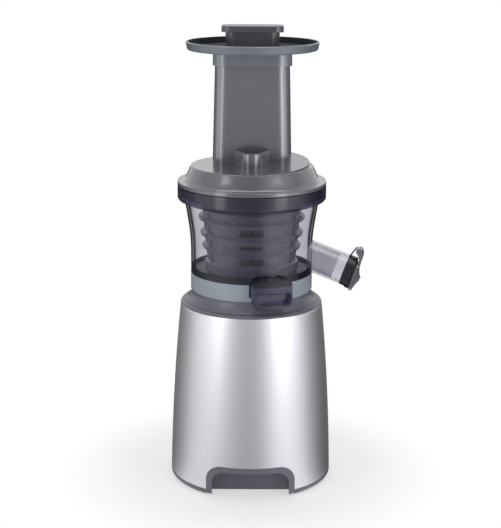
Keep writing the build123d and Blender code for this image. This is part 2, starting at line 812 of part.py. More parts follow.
with BuildPart() as whole_bowl:
    add(
        chute_block(
            duct_start - chute_wall,
            chute_reach,
            chute_width,
            duct_bottom,
            floor_top,
            chute_corner / 2,
        )
    )
    add(
        chute_block(
            head_start,
            head_reach + 2,
            chute_width,
            chute_bottom,
            floor_top + chute_brow,
            chute_corner,
        )
    )
    extrude(disc(chute_bottom, chute_reach), amount=bowl_flange_top, mode=Mode.INTERSECT)
    revolve(bowl_profile(0, bowl_bottom), axis=Axis.Z)
    extrude(disc(duct_bottom, duct_start), amount=bowl_bottom - duct_bottom)
    revolve(
        turned(
            (bowl_top_radius - bowl_wall, bowl_flange_bottom),
            (bowl_top_radius, bowl_flange_bottom - bowl_flange_wall),
            (bowl_flange_radius - 1, bowl_flange_bottom - 0.5),
            (bowl_flange_radius, bowl_flange_bottom + 1),
            (bowl_flange_radius, bowl_flange_top),
            (bowl_flange_radius - bowl_flange_wall, bowl_flange_top),
            (bowl_flange_radius - bowl_flange_wall, bowl_flange_bottom + bowl_flange_wall),
            (bowl_top_radius - bowl_wall, bowl_flange_bottom + bowl_flange_wall),
        ),
        axis=Axis.Z,
    )
    extrude(spout_disc(-bowl_wall - 2, stub_radius), amount=stub_length + bowl_wall + 2)
    revolve(bowl_profile(bowl_wall, floor_top), axis=Axis.Z, mode=Mode.SUBTRACT)
    extrude(spout_disc(-bowl_wall - 8, stub_bore), amount=stub_length + bowl_wall + 9, mode=Mode.SUBTRACT)
    add(
        chute_block(
            duct_start,
            chute_reach - chute_wall - duct_start,
            chute_hollow,
            duct_bottom + chute_wall,
            bowl_bottom,
        ),
        mode=Mode.SUBTRACT,
    )
    add(
        chute_block(
            head_start + chute_wall,
            head_reach - 2 * chute_wall,
            chute_hollow,
            chute_bottom + chute_wall,
            bowl_bottom,
            chute_corner / 2,
        ),
        mode=Mode.SUBTRACT,
    )
    add(
        chute_block(
            head_start + chute_wall,
            head_reach,
            chute_hollow,
            chute_bottom + chute_wall,
            chute_lip,
            chute_corner - 1,
        ),
        mode=Mode.SUBTRACT,
    )
    add(port_block(bowl_bottom - 1, bowl_floor + 2, 0), mode=Mode.SUBTRACT)
    extrude(disc(duct_bottom, hub_bore), amount=bowl_floor + floor_top - duct_bottom, mode=Mode.SUBTRACT)
    extrude(disc(floor_top, brush_pin_radius, centre=(0, brush_distance)), amount=brush_face + brush_play)

with BuildPart() as floor_room:
    extrude(disc(chute_bottom, floor_plate_radius), amount=floor_top - chute_bottom)
    extrude(disc(chute_bottom, hub_room_radius), amount=bowl_waist_height - chute_bottom)
    add(
        chute_block(
            hub_room_radius,
            chute_reach,
            chute_width + chute_gap,
            chute_bottom - chute_gap,
            floor_top,
        )
    )
    add(
        chute_block(
            head_start - chute_gap / 2,
            chute_reach,
            chute_width + chute_gap,
            floor_top,
            floor_top + 2 * chute_brow,
        )
    )

with BuildPart() as bowl:
    add(whole_bowl.part)
    add(floor_room.part, mode=Mode.SUBTRACT)
keep("bowl", bowl.part)

with BuildPart() as bowl_floor_plate:
    add(whole_bowl.part)
    add(floor_room.part, mode=Mode.INTERSECT)
keep("bowl_floor_plate", bowl_floor_plate.part)

with BuildPart() as hub_seal:
    extrude(disc(duct_bottom + 2, hub_bore, seal_bore), amount=floor_top - duct_bottom - 2)
keep("hub_seal", hub_seal.part)

with BuildPart() as juice_spout:
    extrude(spout_disc(-bowl_wall - 2, spout_radius), amount=spout_length + bowl_wall + 2)
    extrude(
        spout_disc(-bowl_wall - 2, sleeve_bore),
        amount=spout_length + bowl_wall + 3,
        mode=Mode.SUBTRACT,
    )
    revolve(bowl_profile(0, bowl_bottom), axis=Axis.Z, mode=Mode.SUBTRACT)
    split(bisect_by=Plane((bowl_bottom_radius / 2, 0, 0), z_dir=(1, 0, 0)), keep=Keep.TOP)
keep("juice_spout", juice_spout.part)

# ---------------------------------------------------------------- filter, wiper and auger
filter_slope = (filter_top_radius - filter_bottom_radius) / (filter_top - plate_bottom)


def filter_radius(height):
    """The filter drum's outer radius, which widens upwards."""
    return filter_bottom_radius + filter_slope * (height - plate_bottom)


with BuildPart() as filter_drum:
    rim_bottom = filter_top - filter_rim_height
    revolve(
        turned(
            (filter_bottom_radius, plate_bottom),
            (filter_radius(rim_bottom), rim_bottom),
            (filter_rim_radius, rim_bottom),
            (filter_rim_radius, filter_top),
            (filter_top_radius - filter_wall, filter_top),
            (filter_radius(plate_top) - filter_wall, plate_top),
            (auger_foot_radius, plate_top),
            (auger_foot_radius, plate_bottom),
        ),
        axis=Axis.Z,
    )
    slot_bottom = plate_top + 4
    slot_run = (rim_bottom - slot_bottom - 8) / 2
    for row in (0, 1):
        with Locations((0, 0, slot_bottom + slot_run / 2 + row * (slot_run + 4))):
            with PolarLocations((filter_bottom_radius + filter_top_radius) / 2, filter_slots):
                Box(12, slot_width, slot_run, mode=Mode.SUBTRACT)
    add(port_block(floor_top, plate_top - floor_top, filter_wall))
    add(port_block(floor_top, plate_top - floor_top, 0), mode=Mode.SUBTRACT)
    leg_angles = (chute_angle - 90 + 120, chute_angle - 90 - 120)
    for leg_angle in leg_angles:
        leg_place = (brush_distance * cos(radians(leg_angle)), brush_distance * sin(radians(leg_angle)))
        extrude(disc(floor_top, brush_pin_radius, centre=leg_place), amount=plate_top - floor_top)
keep("filter_drum", filter_drum.part)

gear_bottom = floor_top + brush_play

with BuildPart() as brush_gear:
    extrude(
        toothed(
            gear_bottom,
            brush_teeth,
            brush_pin_radius + running_clearance,
            centre=(0, brush_distance),
        ),
        amount=brush_face - brush_play,
    )
keep("brush_gear", brush_gear.part)

ring_root = gear_module * ring_teeth / 2 + 1.2 * gear_module
ring_outer = ring_root + ring_wall
ring_top = gear_bottom + brush_face


def wiper_radius(height):
    """The wiper cage's outer radius at a height."""
    return filter_radius(height) + wiper_gap + wiper_wall


with BuildPart() as wiper_cage:
    ridge_corners = []
    for height, ridge_radius in zip(ridge_heights, ridge_radii):
        ridge_corners += [
            (wiper_radius(height - ridge_half_height), height - ridge_half_height),
            (ridge_radius - 0.8, height - ridge_half_height / 3),
            (ridge_radius, height + ridge_half_height / 4),
            (ridge_radius - 1.2, height + ridge_half_height / 1.3),
            (wiper_radius(height + ridge_half_height), height + ridge_half_height),
        ]
    revolve(
        turned(
            (ring_root, gear_bottom),
            (ring_outer, gear_bottom),
            (ring_outer, ring_top + ring_lip),
            (wiper_radius(ring_top + 2 * ring_lip), ring_top + 2 * ring_lip),
            *ridge_corners,
            (wiper_radius(wiper_top), wiper_top),
            (wiper_radius(wiper_top) - wiper_wall, wiper_top),
            (wiper_radius(ring_top) - wiper_wall, ring_top),
            (ring_root, ring_top),
        ),
        axis=Axis.Z,
    )
    with BuildSketch(Plane.XY.offset(gear_bottom)) as ring_teeth_outline:
        ring_pitch = gear_module * ring_teeth / 2
        ring_tip = ring_pitch - 0.75 * gear_module
        half_pitch = 180 / ring_teeth
        with PolarLocations(0, ring_teeth):
            Polygon(
                (ring_root + 0.3, -ring_root * sin(radians(half_pitch * 0.58))),
                (ring_root + 0.3, ring_root * sin(radians(half_pitch * 0.58))),
                (ring_tip, ring_tip * sin(radians(half_pitch * 0.22))),
                (ring_tip, -ring_tip * sin(radians(half_pitch * 0.22))),
                align=None,
            )
    extrude(ring_teeth_outline.sketch, amount=brush_face)
    low_ridge, middle_ridge, high_ridge = ridge_heights
    window_rows = [
        (ring_top + 2 * ring_lip + window_edge, low_ridge - ridge_half_height - window_edge),
        (low_ridge + ridge_half_height + window_edge, middle_ridge - ridge_half_height - window_edge),
        (middle_ridge + ridge_half_height + window_edge, high_ridge - ridge_half_height - window_edge),
    ]
    for window_bottom, window_top in window_rows:
        with Locations((0, 0, (window_bottom + window_top) / 2)):
            with PolarLocations(wiper_radius(window_top), wiper_windows, 30):
                Box(14, wiper_window_width, window_top - window_bottom, mode=Mode.SUBTRACT)
    with Locations((0, 0, (ring_top + 3 + wiper_top - 3) / 2)):
        with PolarLocations(filter_top_radius + wiper_gap, wiper_windows, -30):
            Box(24, blade_thickness, wiper_top - ring_top - 6, mode=Mode.SUBTRACT)
keep("wiper_cage", wiper_cage.part)

with BuildPart() as wiper_blades:
    with Locations((0, 0, (ring_top + 3 + wiper_top - 3) / 2)):
        with PolarLocations(filter_top_radius + wiper_gap, wiper_windows, -30):
            Box(24, blade_thickness, wiper_top - ring_top - 6)
    revolve(
        turned(
            (filter_radius(ring_top) + loose_clearance, ring_top),
            (wiper_radius(ring_top) + 0.5, ring_top),
            (wiper_radius(wiper_top) + 0.5, wiper_top),
            (filter_radius(wiper_top) + loose_clearance, wiper_top),
        ),
        axis=Axis.Z,
        mode=Mode.INTERSECT,
    )
keep("wiper_blades", wiper_blades.part)

socket_top = drive_shaft_top + 1.5
sleeve_bottom = duct_bottom + 1
flight_bottom = plate_top + brush_play

with BuildSketch(Plane.XY.offset(flight_bottom)) as flight_section:
    flight_reach = filter_top_radius
    flight_half = filter_top_radius * sin(radians(flight_angle / 2)) / cos(radians(flight_angle / 2))
    Circle(auger_nose_radius - 1)
    Polygon((0, 0), (flight_reach, -flight_half), (flight_reach, flight_half), align=None)
flight_twist = Solid.extrude_linear_with_rotation(
    flight_section.sketch.face(),
    center=(0, 0, flight_bottom),
    normal=(0, 0, auger_top - flight_bottom),
    angle=360 * auger_turns,
)

with BuildPart() as auger:
    add(flight_twist)
    revolve(
        turned(
            (0, flight_bottom),
            (filter_radius(flight_bottom) - filter_wall - auger_clearance, flight_bottom),
            (filter_radius(filter_top) - filter_wall - auger_clearance, filter_top),
            (auger_nose_radius + flight_nose_reach, auger_top),
            (0, auger_top),
        ),
        axis=Axis.Z,
        mode=Mode.INTERSECT,
    )
    with BuildSketch(Plane.XZ) as auger_core:
        with BuildLine():
            Spline(
                (auger_foot_radius - 1, flight_bottom),
                (auger_belly_radius, auger_belly_height),
                (auger_nose_radius, auger_top),
                tangents=((0, 1), (-0.25, 1)),
            )
            Polyline(
                (auger_nose_radius, auger_top),
                (0, auger_top),
                (0, flight_bottom),
                (auger_foot_radius - 1, flight_bottom),
            )
        make_face()
    revolve(auger_core.sketch, axis=Axis.Z)
    extrude(disc(auger_top, auger_pin_radius), amount=auger_pin_height)
    chamfer(auger.edges().group_by(Axis.Z)[-1], 1)
    extrude(disc(sleeve_bottom, hub_sleeve_radius), amount=flight_bottom - sleeve_bottom)
    extrude(toothed(gear_bottom, auger_gear_teeth), amount=brush_face)
    extrude(
        disc(gear_bottom + brush_face, auger_foot_radius - 1),
        amount=flight_bottom - gear_bottom - brush_face,
    )
    extrude(disc(sleeve_bottom, auger_socket_radius), amount=socket_top - sleeve_bottom, mode=Mode.SUBTRACT)
keep("auger", auger.part)

with BuildPart() as auger_socket:
    extrude(disc(sleeve_bottom, auger_socket_radius), amount=socket_top - sleeve_bottom)
    with BuildSketch(Plane.XY.offset(sleeve_bottom)) as socket_hex:
        RegularPolygon(drive_hex / 2 + hex_clearance, 6, major_radius=False)
    extrude(socket_hex.sketch, amount=drive_shaft_top + 0.5 - sleeve_bottom, mode=Mode.SUBTRACT)
keep("auger_socket", auger_socket.part)

# ---------------------------------------------------------------- lid and feed tube
lid_bottom = bowl_flange_top + seat_gap
flange_top = lid_bottom + lid_flange_height
disc_underside = lid_top - lid_wall
bush_bottom = auger_top + 1
bush_bore = auger_pin_radius + running_clearance
bush_radius = bush_bore + bush_wall
lid_radius = bowl_flange_radius - lid_edge_step
spigot_radius = bowl_flange_radius - bowl_flange_wall - spigot_clearance
skirt_bore = filter_rim_radius - lid_wall
tube_front = tube_offset - tube_depth / 2


def flank(inset, low):
    """The lid's dished outline above its flange, closed to the axis."""
    foot = (lid_foot_radius - inset, low)
    brow = (lid_disc_radius - inset, lid_top - inset)
    with BuildSketch(Plane.XZ) as sketch:
        with BuildLine():
            Spline(
                foot,
                (lid_bulge_radius - inset, lid_bulge_height - inset / 2),
                brow,
                tangents=((-1, 0.45), (-0.35, 1)),
            )
            Polyline(brow, (0, lid_top - inset), (0, low), foot)
        make_face()
    return sketch.sketch


def boss_plan(height, inset):
    """The bearing boss from above: a round nose in front of two wings that meet the tube."""
    wing_back = tube_front + tube_wall - inset
    wing_front = tube_front - boss_wing + inset
    with BuildSketch(Plane.XY.offset(height)) as sketch:
        with Locations((0, tube_front - boss_reach + boss_nose_radius)):
            Circle(boss_nose_radius - inset)
        with Locations((0, (wing_back + wing_front) / 2)):
            RectangleRounded(boss_width - 2 * inset, wing_back - wing_front, boss_wall / 2 * 0.9)
        make_hull()
    return sketch.sketch


with BuildPart() as lid:
    revolve(flank(0, flange_top), axis=Axis.Z)
    fillet(lid.edges().group_by(Axis.Z)[-1], lid_edge_round)
    extrude(disc(lid_bottom, lid_radius), amount=lid_flange_height)
    rim_edges = lid.edges().filter_by(GeomType.CIRCLE).group_by(SortBy.RADIUS)[-1]
    fillet(rim_edges, 1)
    extrude(disc(lid_bottom - spigot_height, spigot_radius), amount=spigot_height)
    with BuildSketch(Plane.XY.offset(lid_top - lid_edge_round)) as ramp:
        Circle(ramp_outer_radius)
        with Locations((-ramp_outer_radius, 0)):
            Rectangle(2 * ramp_outer_radius, 4 * ramp_outer_radius, mode=Mode.SUBTRACT)
    ramp_block = extrude(ramp.sketch, amount=ramp_rise + 2 * lid_edge_round, mode=Mode.PRIVATE)
    slope = Plane(
        (0, -ramp_outer_radius, lid_top),
        x_dir=(1, 0, 0),
        z_dir=(0, -ramp_rise, 2 * ramp_outer_radius),
    )
    add(split(ramp_block, bisect_by=slope, keep=Keep.BOTTOM, mode=Mode.PRIVATE))
    extrude(boss_plan(lid_top - lid_edge_round, 0), amount=boss_height + lid_edge_round)
    fillet(lid.faces().sort_by(Axis.Z)[-1].edges(), boss_edge_round)
    revolve(flank(lid_wall, lid_bottom - spigot_height), axis=Axis.Z, mode=Mode.SUBTRACT)
    extrude(
        disc(lid_bottom - spigot_height, spigot_radius - spigot_wall),
        amount=lid_flange_height + spigot_height - 1,
        mode=Mode.SUBTRACT,
    )
    recess = boss_plan(lid_top + boss_height - boss_recess, boss_wall)
    extrude(recess, amount=boss_recess + 1, mode=Mode.SUBTRACT)
    tube_solid(tube_wall, lid_top - 3 * lid_wall, tube_top + 1, mode=Mode.SUBTRACT)
    tube_solid(0, lid_top, tube_top + 1, mode=Mode.SUBTRACT)
    extrude(disc(bush_bottom, bush_radius + 3), amount=disc_underside - bush_bottom)
    extrude(disc(filter_top + seat_gap, filter_rim_radius, skirt_bore), amount=disc_underside - filter_top)
    extrude(disc(bush_bottom, bush_radius), amount=auger_pin_height, mode=Mode.SUBTRACT)
keep("lid", lid.part)

with BuildPart() as feed_tube:
    tube_solid(0, lid_top, tube_top)
    tube_solid(tube_wall, lid_top - 1, tube_top + 1, mode=Mode.SUBTRACT)
    for side in (-1, 1):
        stop_end = side * (tube_bottom_width / 2 - tube_wall / 2)
        with BuildSketch(Plane.XY.offset(pusher_bottom - seat_gap - stop_height)) as stop:
            with Locations((stop_end - side * stop_reach / 2, tube_offset)):
                Rectangle(stop_reach, stop_width)
        extrude(stop.sketch, amount=stop_height)
keep("feed_tube", feed_tube.part)

with BuildPart() as auger_bush:
    extrude(disc(bush_bottom, bush_radius, bush_bore), amount=auger_pin_height)
keep("auger_bush", auger_bush.part)

# ---------------------------------------------------------------- tray and pusher
tray_bottom = tube_top + seat_gap
socket_inset = -socket_clearance

tray_axis = Axis((0, tube_offset, 0), (0, 0, 1))

with BuildPart() as food_tray:
    with BuildSketch(Plane.XZ.offset(-tube_offset)) as tray_side:
        with BuildLine():
            Polyline(
                (0, tray_bottom),
                (tray_foot_radius, tray_bottom),
                (tray_radius, tray_bottom + tray_height),
                (tray_radius - tray_wall, tray_bottom + tray_height),
                (tray_foot_radius - tray_wall, tray_bottom + tray_floor_wall),
                (0, tray_bottom + tray_floor_wall),
                close=True,
            )
        make_face()
    revolve(tray_side.sketch, axis=tray_axis)
    fillet(food_tray.edges().group_by(Axis.Z)[0], tray_floor_wall * 0.8)
    fillet(food_tray.edges().group_by(Axis.Z)[-1], tray_wall * 0.35)
    tube_solid(socket_inset - socket_wall, tray_bottom - socket_height, tray_bottom + 0.5)
    tube_solid(socket_inset, tray_bottom - socket_height - 1, tray_bottom, mode=Mode.SUBTRACT)
    tube_solid(tube_wall, tray_bottom - 1, tray_bottom + tray_height, mode=Mode.SUBTRACT)
keep("food_tray", food_tray.part)

plunger_width = tube_top_width - 2 * tube_wall - 2 * pusher_clearance
plunger_depth = tube_depth - 2 * tube_wall - 2 * pusher_clearance
plunger_corner = tube_corner - tube_wall - pusher_clearance

with BuildPart() as pusher:
    extrude(
        oval(pusher_bottom, plunger_width, plunger_depth, plunger_corner),
        amount=pusher_neck_bottom - pusher_bottom,
    )
    fillet(pusher.edges().group_by(Axis.Z)[0], 2)
    loft(
        [
            oval(pusher_neck_bottom, pusher_neck_width, pusher_neck_depth, pusher_corner).face(),
            oval(pusher_cap_bottom, pusher_neck_top_width, pusher_neck_depth, pusher_corner).face(),
        ]
    )
    extrude(
        oval(pusher_cap_bottom, pusher_cap_width, pusher_cap_depth, pusher_corner),
        amount=pusher_top - pusher_cap_bottom,
    )
    fillet(pusher.edges().group_by(Axis.Z)[-1], 1)
keep("pusher", pusher.part)

# ---------------------------------------------------------------- juice tap
tap_end = spout_length + tap_length
lever_back = tap_end + seal_thickness
tap_pin_along = tap_end + tap_pin_reach


def side_plane(across):
    """The plane of the spout's side view: x along the spout, y upwards."""
    return Plane(spout_root + spout_across * across, x_dir=spout_way, z_dir=spout_across * -1)


def side_block(half_width, *corners):
    """A block across the spout, from its side-view corners (along the spout, up from it)."""
    with BuildSketch(side_plane(half_width)) as sketch:
        with BuildLine():
            Polyline(*corners, close=True)
        make_face()
    return extrude(sketch.sketch, amount=2 * half_width, mode=Mode.PRIVATE)


def side_rod(half_width, along, up, radius):
    """A rod across the spout."""
    with BuildSketch(side_plane(half_width)) as sketch:
        with Locations((along, up)):
            Circle(radius)
    return extrude(sketch.sketch, amount=2 * half_width, mode=Mode.PRIVATE)


with BuildPart() as tap_ring:
    extrude(spout_disc(spout_length, tap_radius, tap_bore), amount=tap_length)
    extrude(
        spout_disc(spout_length - tap_overlap, tap_radius, spout_radius + seat_gap / 10),
        amount=tap_overlap,
    )
    add(
        side_block(
            tap_lug_width / 2,
            (tap_end - 2 * tap_lug_radius, tap_lug_radius - tap_pin_drop),
            (tap_pin_along, tap_lug_radius - tap_pin_drop),
            (tap_pin_along, -tap_lug_radius - tap_pin_drop),
            (tap_end - tap_lug_radius, -tap_lug_radius - tap_pin_drop),
            (tap_end - 3 * tap_lug_radius, -tap_pin_drop),
        )
    )
    add(side_rod(tap_lug_width / 2, tap_pin_along, -tap_pin_drop, tap_lug_radius))
    add(
        side_block(
            catch_width / 2,
            (spout_length - tap_overlap, spout_radius + seat_gap),
            (spout_length - tap_overlap + catch_lean, catch_rise),
            (spout_length - tap_overlap + catch_lean + catch_thickness, catch_rise),
            (spout_length - tap_overlap + catch_thickness, spout_radius + seat_gap),
        )
    )
    add(
        side_rod(tap_lug_width, tap_pin_along, -tap_pin_drop, tap_pin_radius),
        mode=Mode.SUBTRACT,
    )
keep("tap_ring", tap_ring.part)

with BuildPart() as tap_pin:
    add(side_rod(tap_pin_length / 2, tap_pin_along, -tap_pin_drop, tap_pin_radius))
keep("tap_pin", tap_pin.part)

with BuildPart() as tap_seal:
    extrude(spout_disc(tap_end + seat_gap, tap_bore + seal_lap), amount=seal_thickness - seat_gap)
keep("tap_seal", tap_seal.part)

ear_gap = tap_lug_width / 2 + loose_clearance
lever_front = lever_back + pad_thickness
knob_place = lever_front - knob_lean
bump_front = lever_front + bump_thickness / 2

with BuildPart() as tap_lever:
    with BuildSketch(side_plane(lever_width / 2)) as lever_side:
        with BuildLine():
            Spline(
                (lever_back, tap_bore),
                (lever_back - catch_thickness, tap_radius + 2 * catch_thickness),
                (knob_place - knob_thickness / 2, knob_rise - knob_thickness / 2),
                (knob_place, knob_rise),
                (knob_place + knob_thickness / 2, knob_rise - knob_thickness / 3),
                (lever_front - seat_gap, (knob_rise + waist_rise) / 2),
                (lever_back + waist_thickness, waist_rise),
                (bump_front + bump_thickness / 4, -bump_drop / 3),
                (bump_front, -bump_drop * 0.8),
                tangents=((0, 1), (-1, -2)),
            )
            Polyline(
                (bump_front, -bump_drop * 0.8),
                (lever_front, -bump_drop),
                (lever_back, -bump_drop),
                (lever_back, tap_bore),
            )
        make_face()
    extrude(lever_side.sketch, amount=lever_width)
    extrude(spout_disc(lever_back, tap_bore + seal_lap), amount=pad_thickness)
    add(
        side_block(
            ear_gap + tap_ear_thickness,
            (lever_back, -tap_pin_drop),
            (tap_pin_along + tap_lug_radius, -tap_pin_drop),
            (bump_front, -bump_drop * 0.8),
            (lever_back, -bump_drop * 0.8),
        )
    )
    add(side_rod(ear_gap + tap_ear_thickness, tap_pin_along, -tap_pin_drop, tap_lug_radius))
    add(
        side_block(
            ear_gap,
            (tap_end, -tap_pin_drop - 2 * tap_lug_radius),
            (tap_end, tap_lug_radius + loose_clearance - tap_pin_drop),
            (bump_front, tap_lug_radius + loose_clearance - tap_pin_drop),
            (bump_front, -tap_pin_drop - 2 * tap_lug_radius),
        ),
        mode=Mode.SUBTRACT,
    )
    add(
        side_rod(
            tap_pin_length,
            tap_pin_along,
            -tap_pin_drop,
            tap_pin_radius + running_clearance,
        ),
        mode=Mode.SUBTRACT,
    )
keep("tap_lever", tap_lever.part)

os.makedirs("parts", exist_ok=True)
for name, part in parts.items():
    export_step(part, f"parts/{name}.step")
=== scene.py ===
import json
import math

import bpy
from bpy.props import FloatProperty, FloatVectorProperty, PointerProperty
from mathutils import Matrix, Vector


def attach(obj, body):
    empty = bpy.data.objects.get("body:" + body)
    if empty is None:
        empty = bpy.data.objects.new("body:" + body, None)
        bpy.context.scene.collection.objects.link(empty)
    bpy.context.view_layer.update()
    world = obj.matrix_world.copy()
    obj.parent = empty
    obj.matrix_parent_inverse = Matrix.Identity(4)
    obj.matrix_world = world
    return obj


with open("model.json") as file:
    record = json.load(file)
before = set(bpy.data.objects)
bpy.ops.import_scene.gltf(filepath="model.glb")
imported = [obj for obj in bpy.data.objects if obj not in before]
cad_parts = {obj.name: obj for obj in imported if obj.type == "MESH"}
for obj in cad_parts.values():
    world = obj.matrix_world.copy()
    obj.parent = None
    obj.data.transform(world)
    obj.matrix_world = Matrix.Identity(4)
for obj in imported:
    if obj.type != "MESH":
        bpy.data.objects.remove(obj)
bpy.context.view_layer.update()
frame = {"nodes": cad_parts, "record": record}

# Cold press juicer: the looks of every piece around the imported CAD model. Metres,
# +Z up, front towards -Y, juice spout towards +X, origin under the drive axis.

bl_info = {
    "name": "Cold press juicer",
    "version": (1, 0, 0),
    "blender": (4, 5, 0),
    "location": "View3D > Sidebar > Juicer",
    "description": "Dresses the cold press juicer's frame with finishes, trim, studio and camera",
    "category": "Object",
}

MM = 0.001
SLOTS = {entry["node"]: entry["material_slot"] for entry in frame["record"]["subparts"]}
SHARP_EDGE_DEGREES = 32

PIECES = {
    "base": (
        "outer_skin",
        "plinth",
        "arch_liner",
        "top_shoulder",
        "bowl_collar",
        "bottom_cover",
        "cover_screws",
        "feet",
        "switch_housing",
        "switch_rocker",
        "cord_gland",
        "circuit_board",
    ),
    "drive": (
        "motor_can",
        "motor_stator",
        "motor_rotor",
        "cooling_fan",
        "motor_pinion",
        "gearbox_housing",
        "gearbox_cover",
        "idler_gear",
        "output_gear",
        "drive_shaft",
        "lower_bearing",
        "upper_bearing",
        "shaft_seal",
    ),
    "vessel": (
        "bowl",
        "bowl_floor_plate",
        "filter_drum",
        "wiper_cage",
        "wiper_blades",
        "auger",
        "auger_socket",
        "auger_bush",
        "hub_seal",
        "brush_gear",
    ),
    "spout": ("juice_spout", "tap_ring", "tap_pin", "tap_lever", "tap_seal"),
    "top": ("lid", "feed_tube", "food_tray", "pusher"),
}

# Sizes of the patterns in millimetres. Tool grain (under 0.1), lacquer flakes (about 0.02) and
# turning rings (about 0.1) are too fine to show, so they are drawn as coarse as they need to be.
FLOW_MARK_MM = 30
CLEAR_FLOW_MM = 12
TOOL_GRAIN_MM = 0.6
FLAKE_MM = 0.7
ORANGE_PEEL_MM = 2.5
RUBBER_DUST_MM = 4
RUBBER_GRAIN_MM = 0.5
TURNING_RING_MM = 0.3

# Noise seldom leaves this range, so it is taken as the whole of a pattern.
NOISE_RANGE = (0.3, 0.7)
# How far a pattern moves a roughness or a share of light to either side, as a part of it.
PLASTIC_SPREAD = 0.08
CLEAR_SPREAD = 0.06
METAL_SPREAD = 0.2
# Turning draws its pattern out round the axis, so across it barely changes.
TURNING_STRETCH = (0.03, 0.03, 1.0)

# How much clear plastic mirrors when it is looked at straight, and edge-on, and how suddenly it
# goes from one to the other.
PLASTIC_MIRROR = 0.04
EDGE_MIRROR = 0.6
MIRROR_POWER = 5.0

# The tray's round dish, which takes the painted shade, in millimetres: its centre behind the drive
# axis, its radius, its floor.
DISH_CENTRE_MM = 25.0
DISH_RADIUS_MM = 61.2
DISH_FLOOR_MM = 413.0
DISH_SPECULAR = 0.08
DISH_ROUGHNESS = 0.6

# Where the bowl holds more plastic: tint, cloudy share, lowest and highest height in millimetres,
# and how far along X it reaches, in millimetres.
BOWL_UNDERSIDE = ("#A19BBE", 0.42, 150.0, 203.5, 57.0)
BOWL_FLOOR = ("#5A5478", 0.1, 204.5, 209.0, 57.0)
BOWL_FLANGE = ("#77718F", 0.16, 273.5, 320.0, 80.0)
ZONE_FADE_MM = 1.0

# The round of the shoulder's rim, in degrees over the horizontal, and how finely trim is built.
RIM_ROUND = (20, 100)
RIM_STEPS = 8
RIM_SECTIONS = 128
CORNER_STEPS = 8
BEAD_SIDES = 10

# What gloss sees round the drive axis: degrees from the front, right positive, and a grey level.
STUDIO_BOARDS = (
    (-180, 0.08),
    (-142, 0.09),
    (-120, 0.27),
    (-100, 0.62),
    (-94, 0.88),
    (-66, 0.95),
    (-44, 0.70),
    (-10, 0.45),
    (14, 0.47),
    (36, 1.02),
    (72, 1.11),
    (88, 0.62),
    (101, 0.32),
    (117, 0.11),
    (136, 0.05),
    (180, 0.08),
)
# Above the horizon the same boards stand in front, and the backdrop behind is plain white.
SKY_BOARDS = (
    (-180, 1.0),
    (-115, 1.0),
    (-100, 0.7),
    (-94, 0.88),
    (-66, 0.95),
    (-44, 0.70),
    (-10, 0.45),
    (14, 0.47),
    (36, 1.02),
    (72, 1.11),
    (88, 0.7),
    (100, 0.7),
    (115, 1.0),
    (180, 1.0),
)
# Up to BOARD_DISTANCE, in metres from the axis, gloss on the floor sees the boards as they are
# listed. From there to BOARD_FADE times as far they gain contrast and BOARD_GAIN in strength.
BOARD_DISTANCE = 1.6
BOARD_FADE = 1.4
BOARD_GAIN = 2.6
BASE_RADIUS = 0.078

# Soft boxes: place, width and height in metres, all aimed at the middle of the juicer.
LAMP_AIM = (0, 0, 0.22)
LEFT_BOX = ((-0.95, -0.85, 0.45), 0.38, 1.1)
RIGHT_BOX = ((0.95, -0.95, 0.45), 0.46, 1.1)
TOP_BOX = ((0, 0.1, 1.3), 0.9, 0.9)

IMAGE_HEIGHT = 528
SENSOR_MM = 36.0
CLIP_START = 0.05


# ------------------------------------------------------------------ node helpers
def linear(hex_colour):
    """An sRGB hex colour as the linear RGBA that Blender's sockets take."""
    channels = [int(hex_colour[i : i + 2], 16) / 255 for i in (1, 3, 5)]
    curved = [c / 12.92 if c <= 0.04045 else ((c + 0.055) / 1.055) ** 2.4 for c in channels]
    return (*curved, 1.0)


def colour_of(value):
    """Linear RGBA from an sRGB hex, or from the name of a setting in JuicerColours."""
    if value.startswith("#"):
        return linear(value)
    return (*getattr(bpy.context.scene.juicer_colours, value), 1.0)


def add_node(tree, kind, links=None, **settings):
    """Add a node with its settings; links maps an input to a value or to another node's output."""
    made = tree.nodes.new(kind)
    for name, value in settings.items():
        setattr(made, name, value)
    for name, value in (links or {}).items():
        socket = made.inputs[name]
        if isinstance(value, bpy.types.NodeSocket):
            tree.links.new(value, socket)
        else:
            socket.default_value = value
    return made


def start_material(name, **sockets):
    """A new material with its Principled shader's own sockets set to constants."""
    material = bpy.data.materials.new(name)
    material.use_nodes = True
    shader = material.node_tree.nodes["Principled BSDF"]
    for key, value in sockets.items():
        shader.inputs[key.replace("_", " ")].default_value = value
    return material, material.node_tree, shader


def spread_of(pattern, low, high):
    """The inputs that turn a pattern's noise into a number between two values."""
    bottom, top = NOISE_RANGE
    return {"Value": pattern, "From Min": bottom, "From Max": top, "To Min": low, "To Max": high}


def grain(tree, size_mm, detail):
    """Noise whose features measure size_mm on the object, from 0 to 1."""
    place = add_node(tree, "ShaderNodeTexCoord").outputs["Object"]
    return add_node(
        tree,
        "ShaderNodeTexNoise",
        {"Vector": place, "Scale": 1 / (size_mm * MM), "Detail": detail, "Roughness": 0.55},
    ).outputs["Fac"]


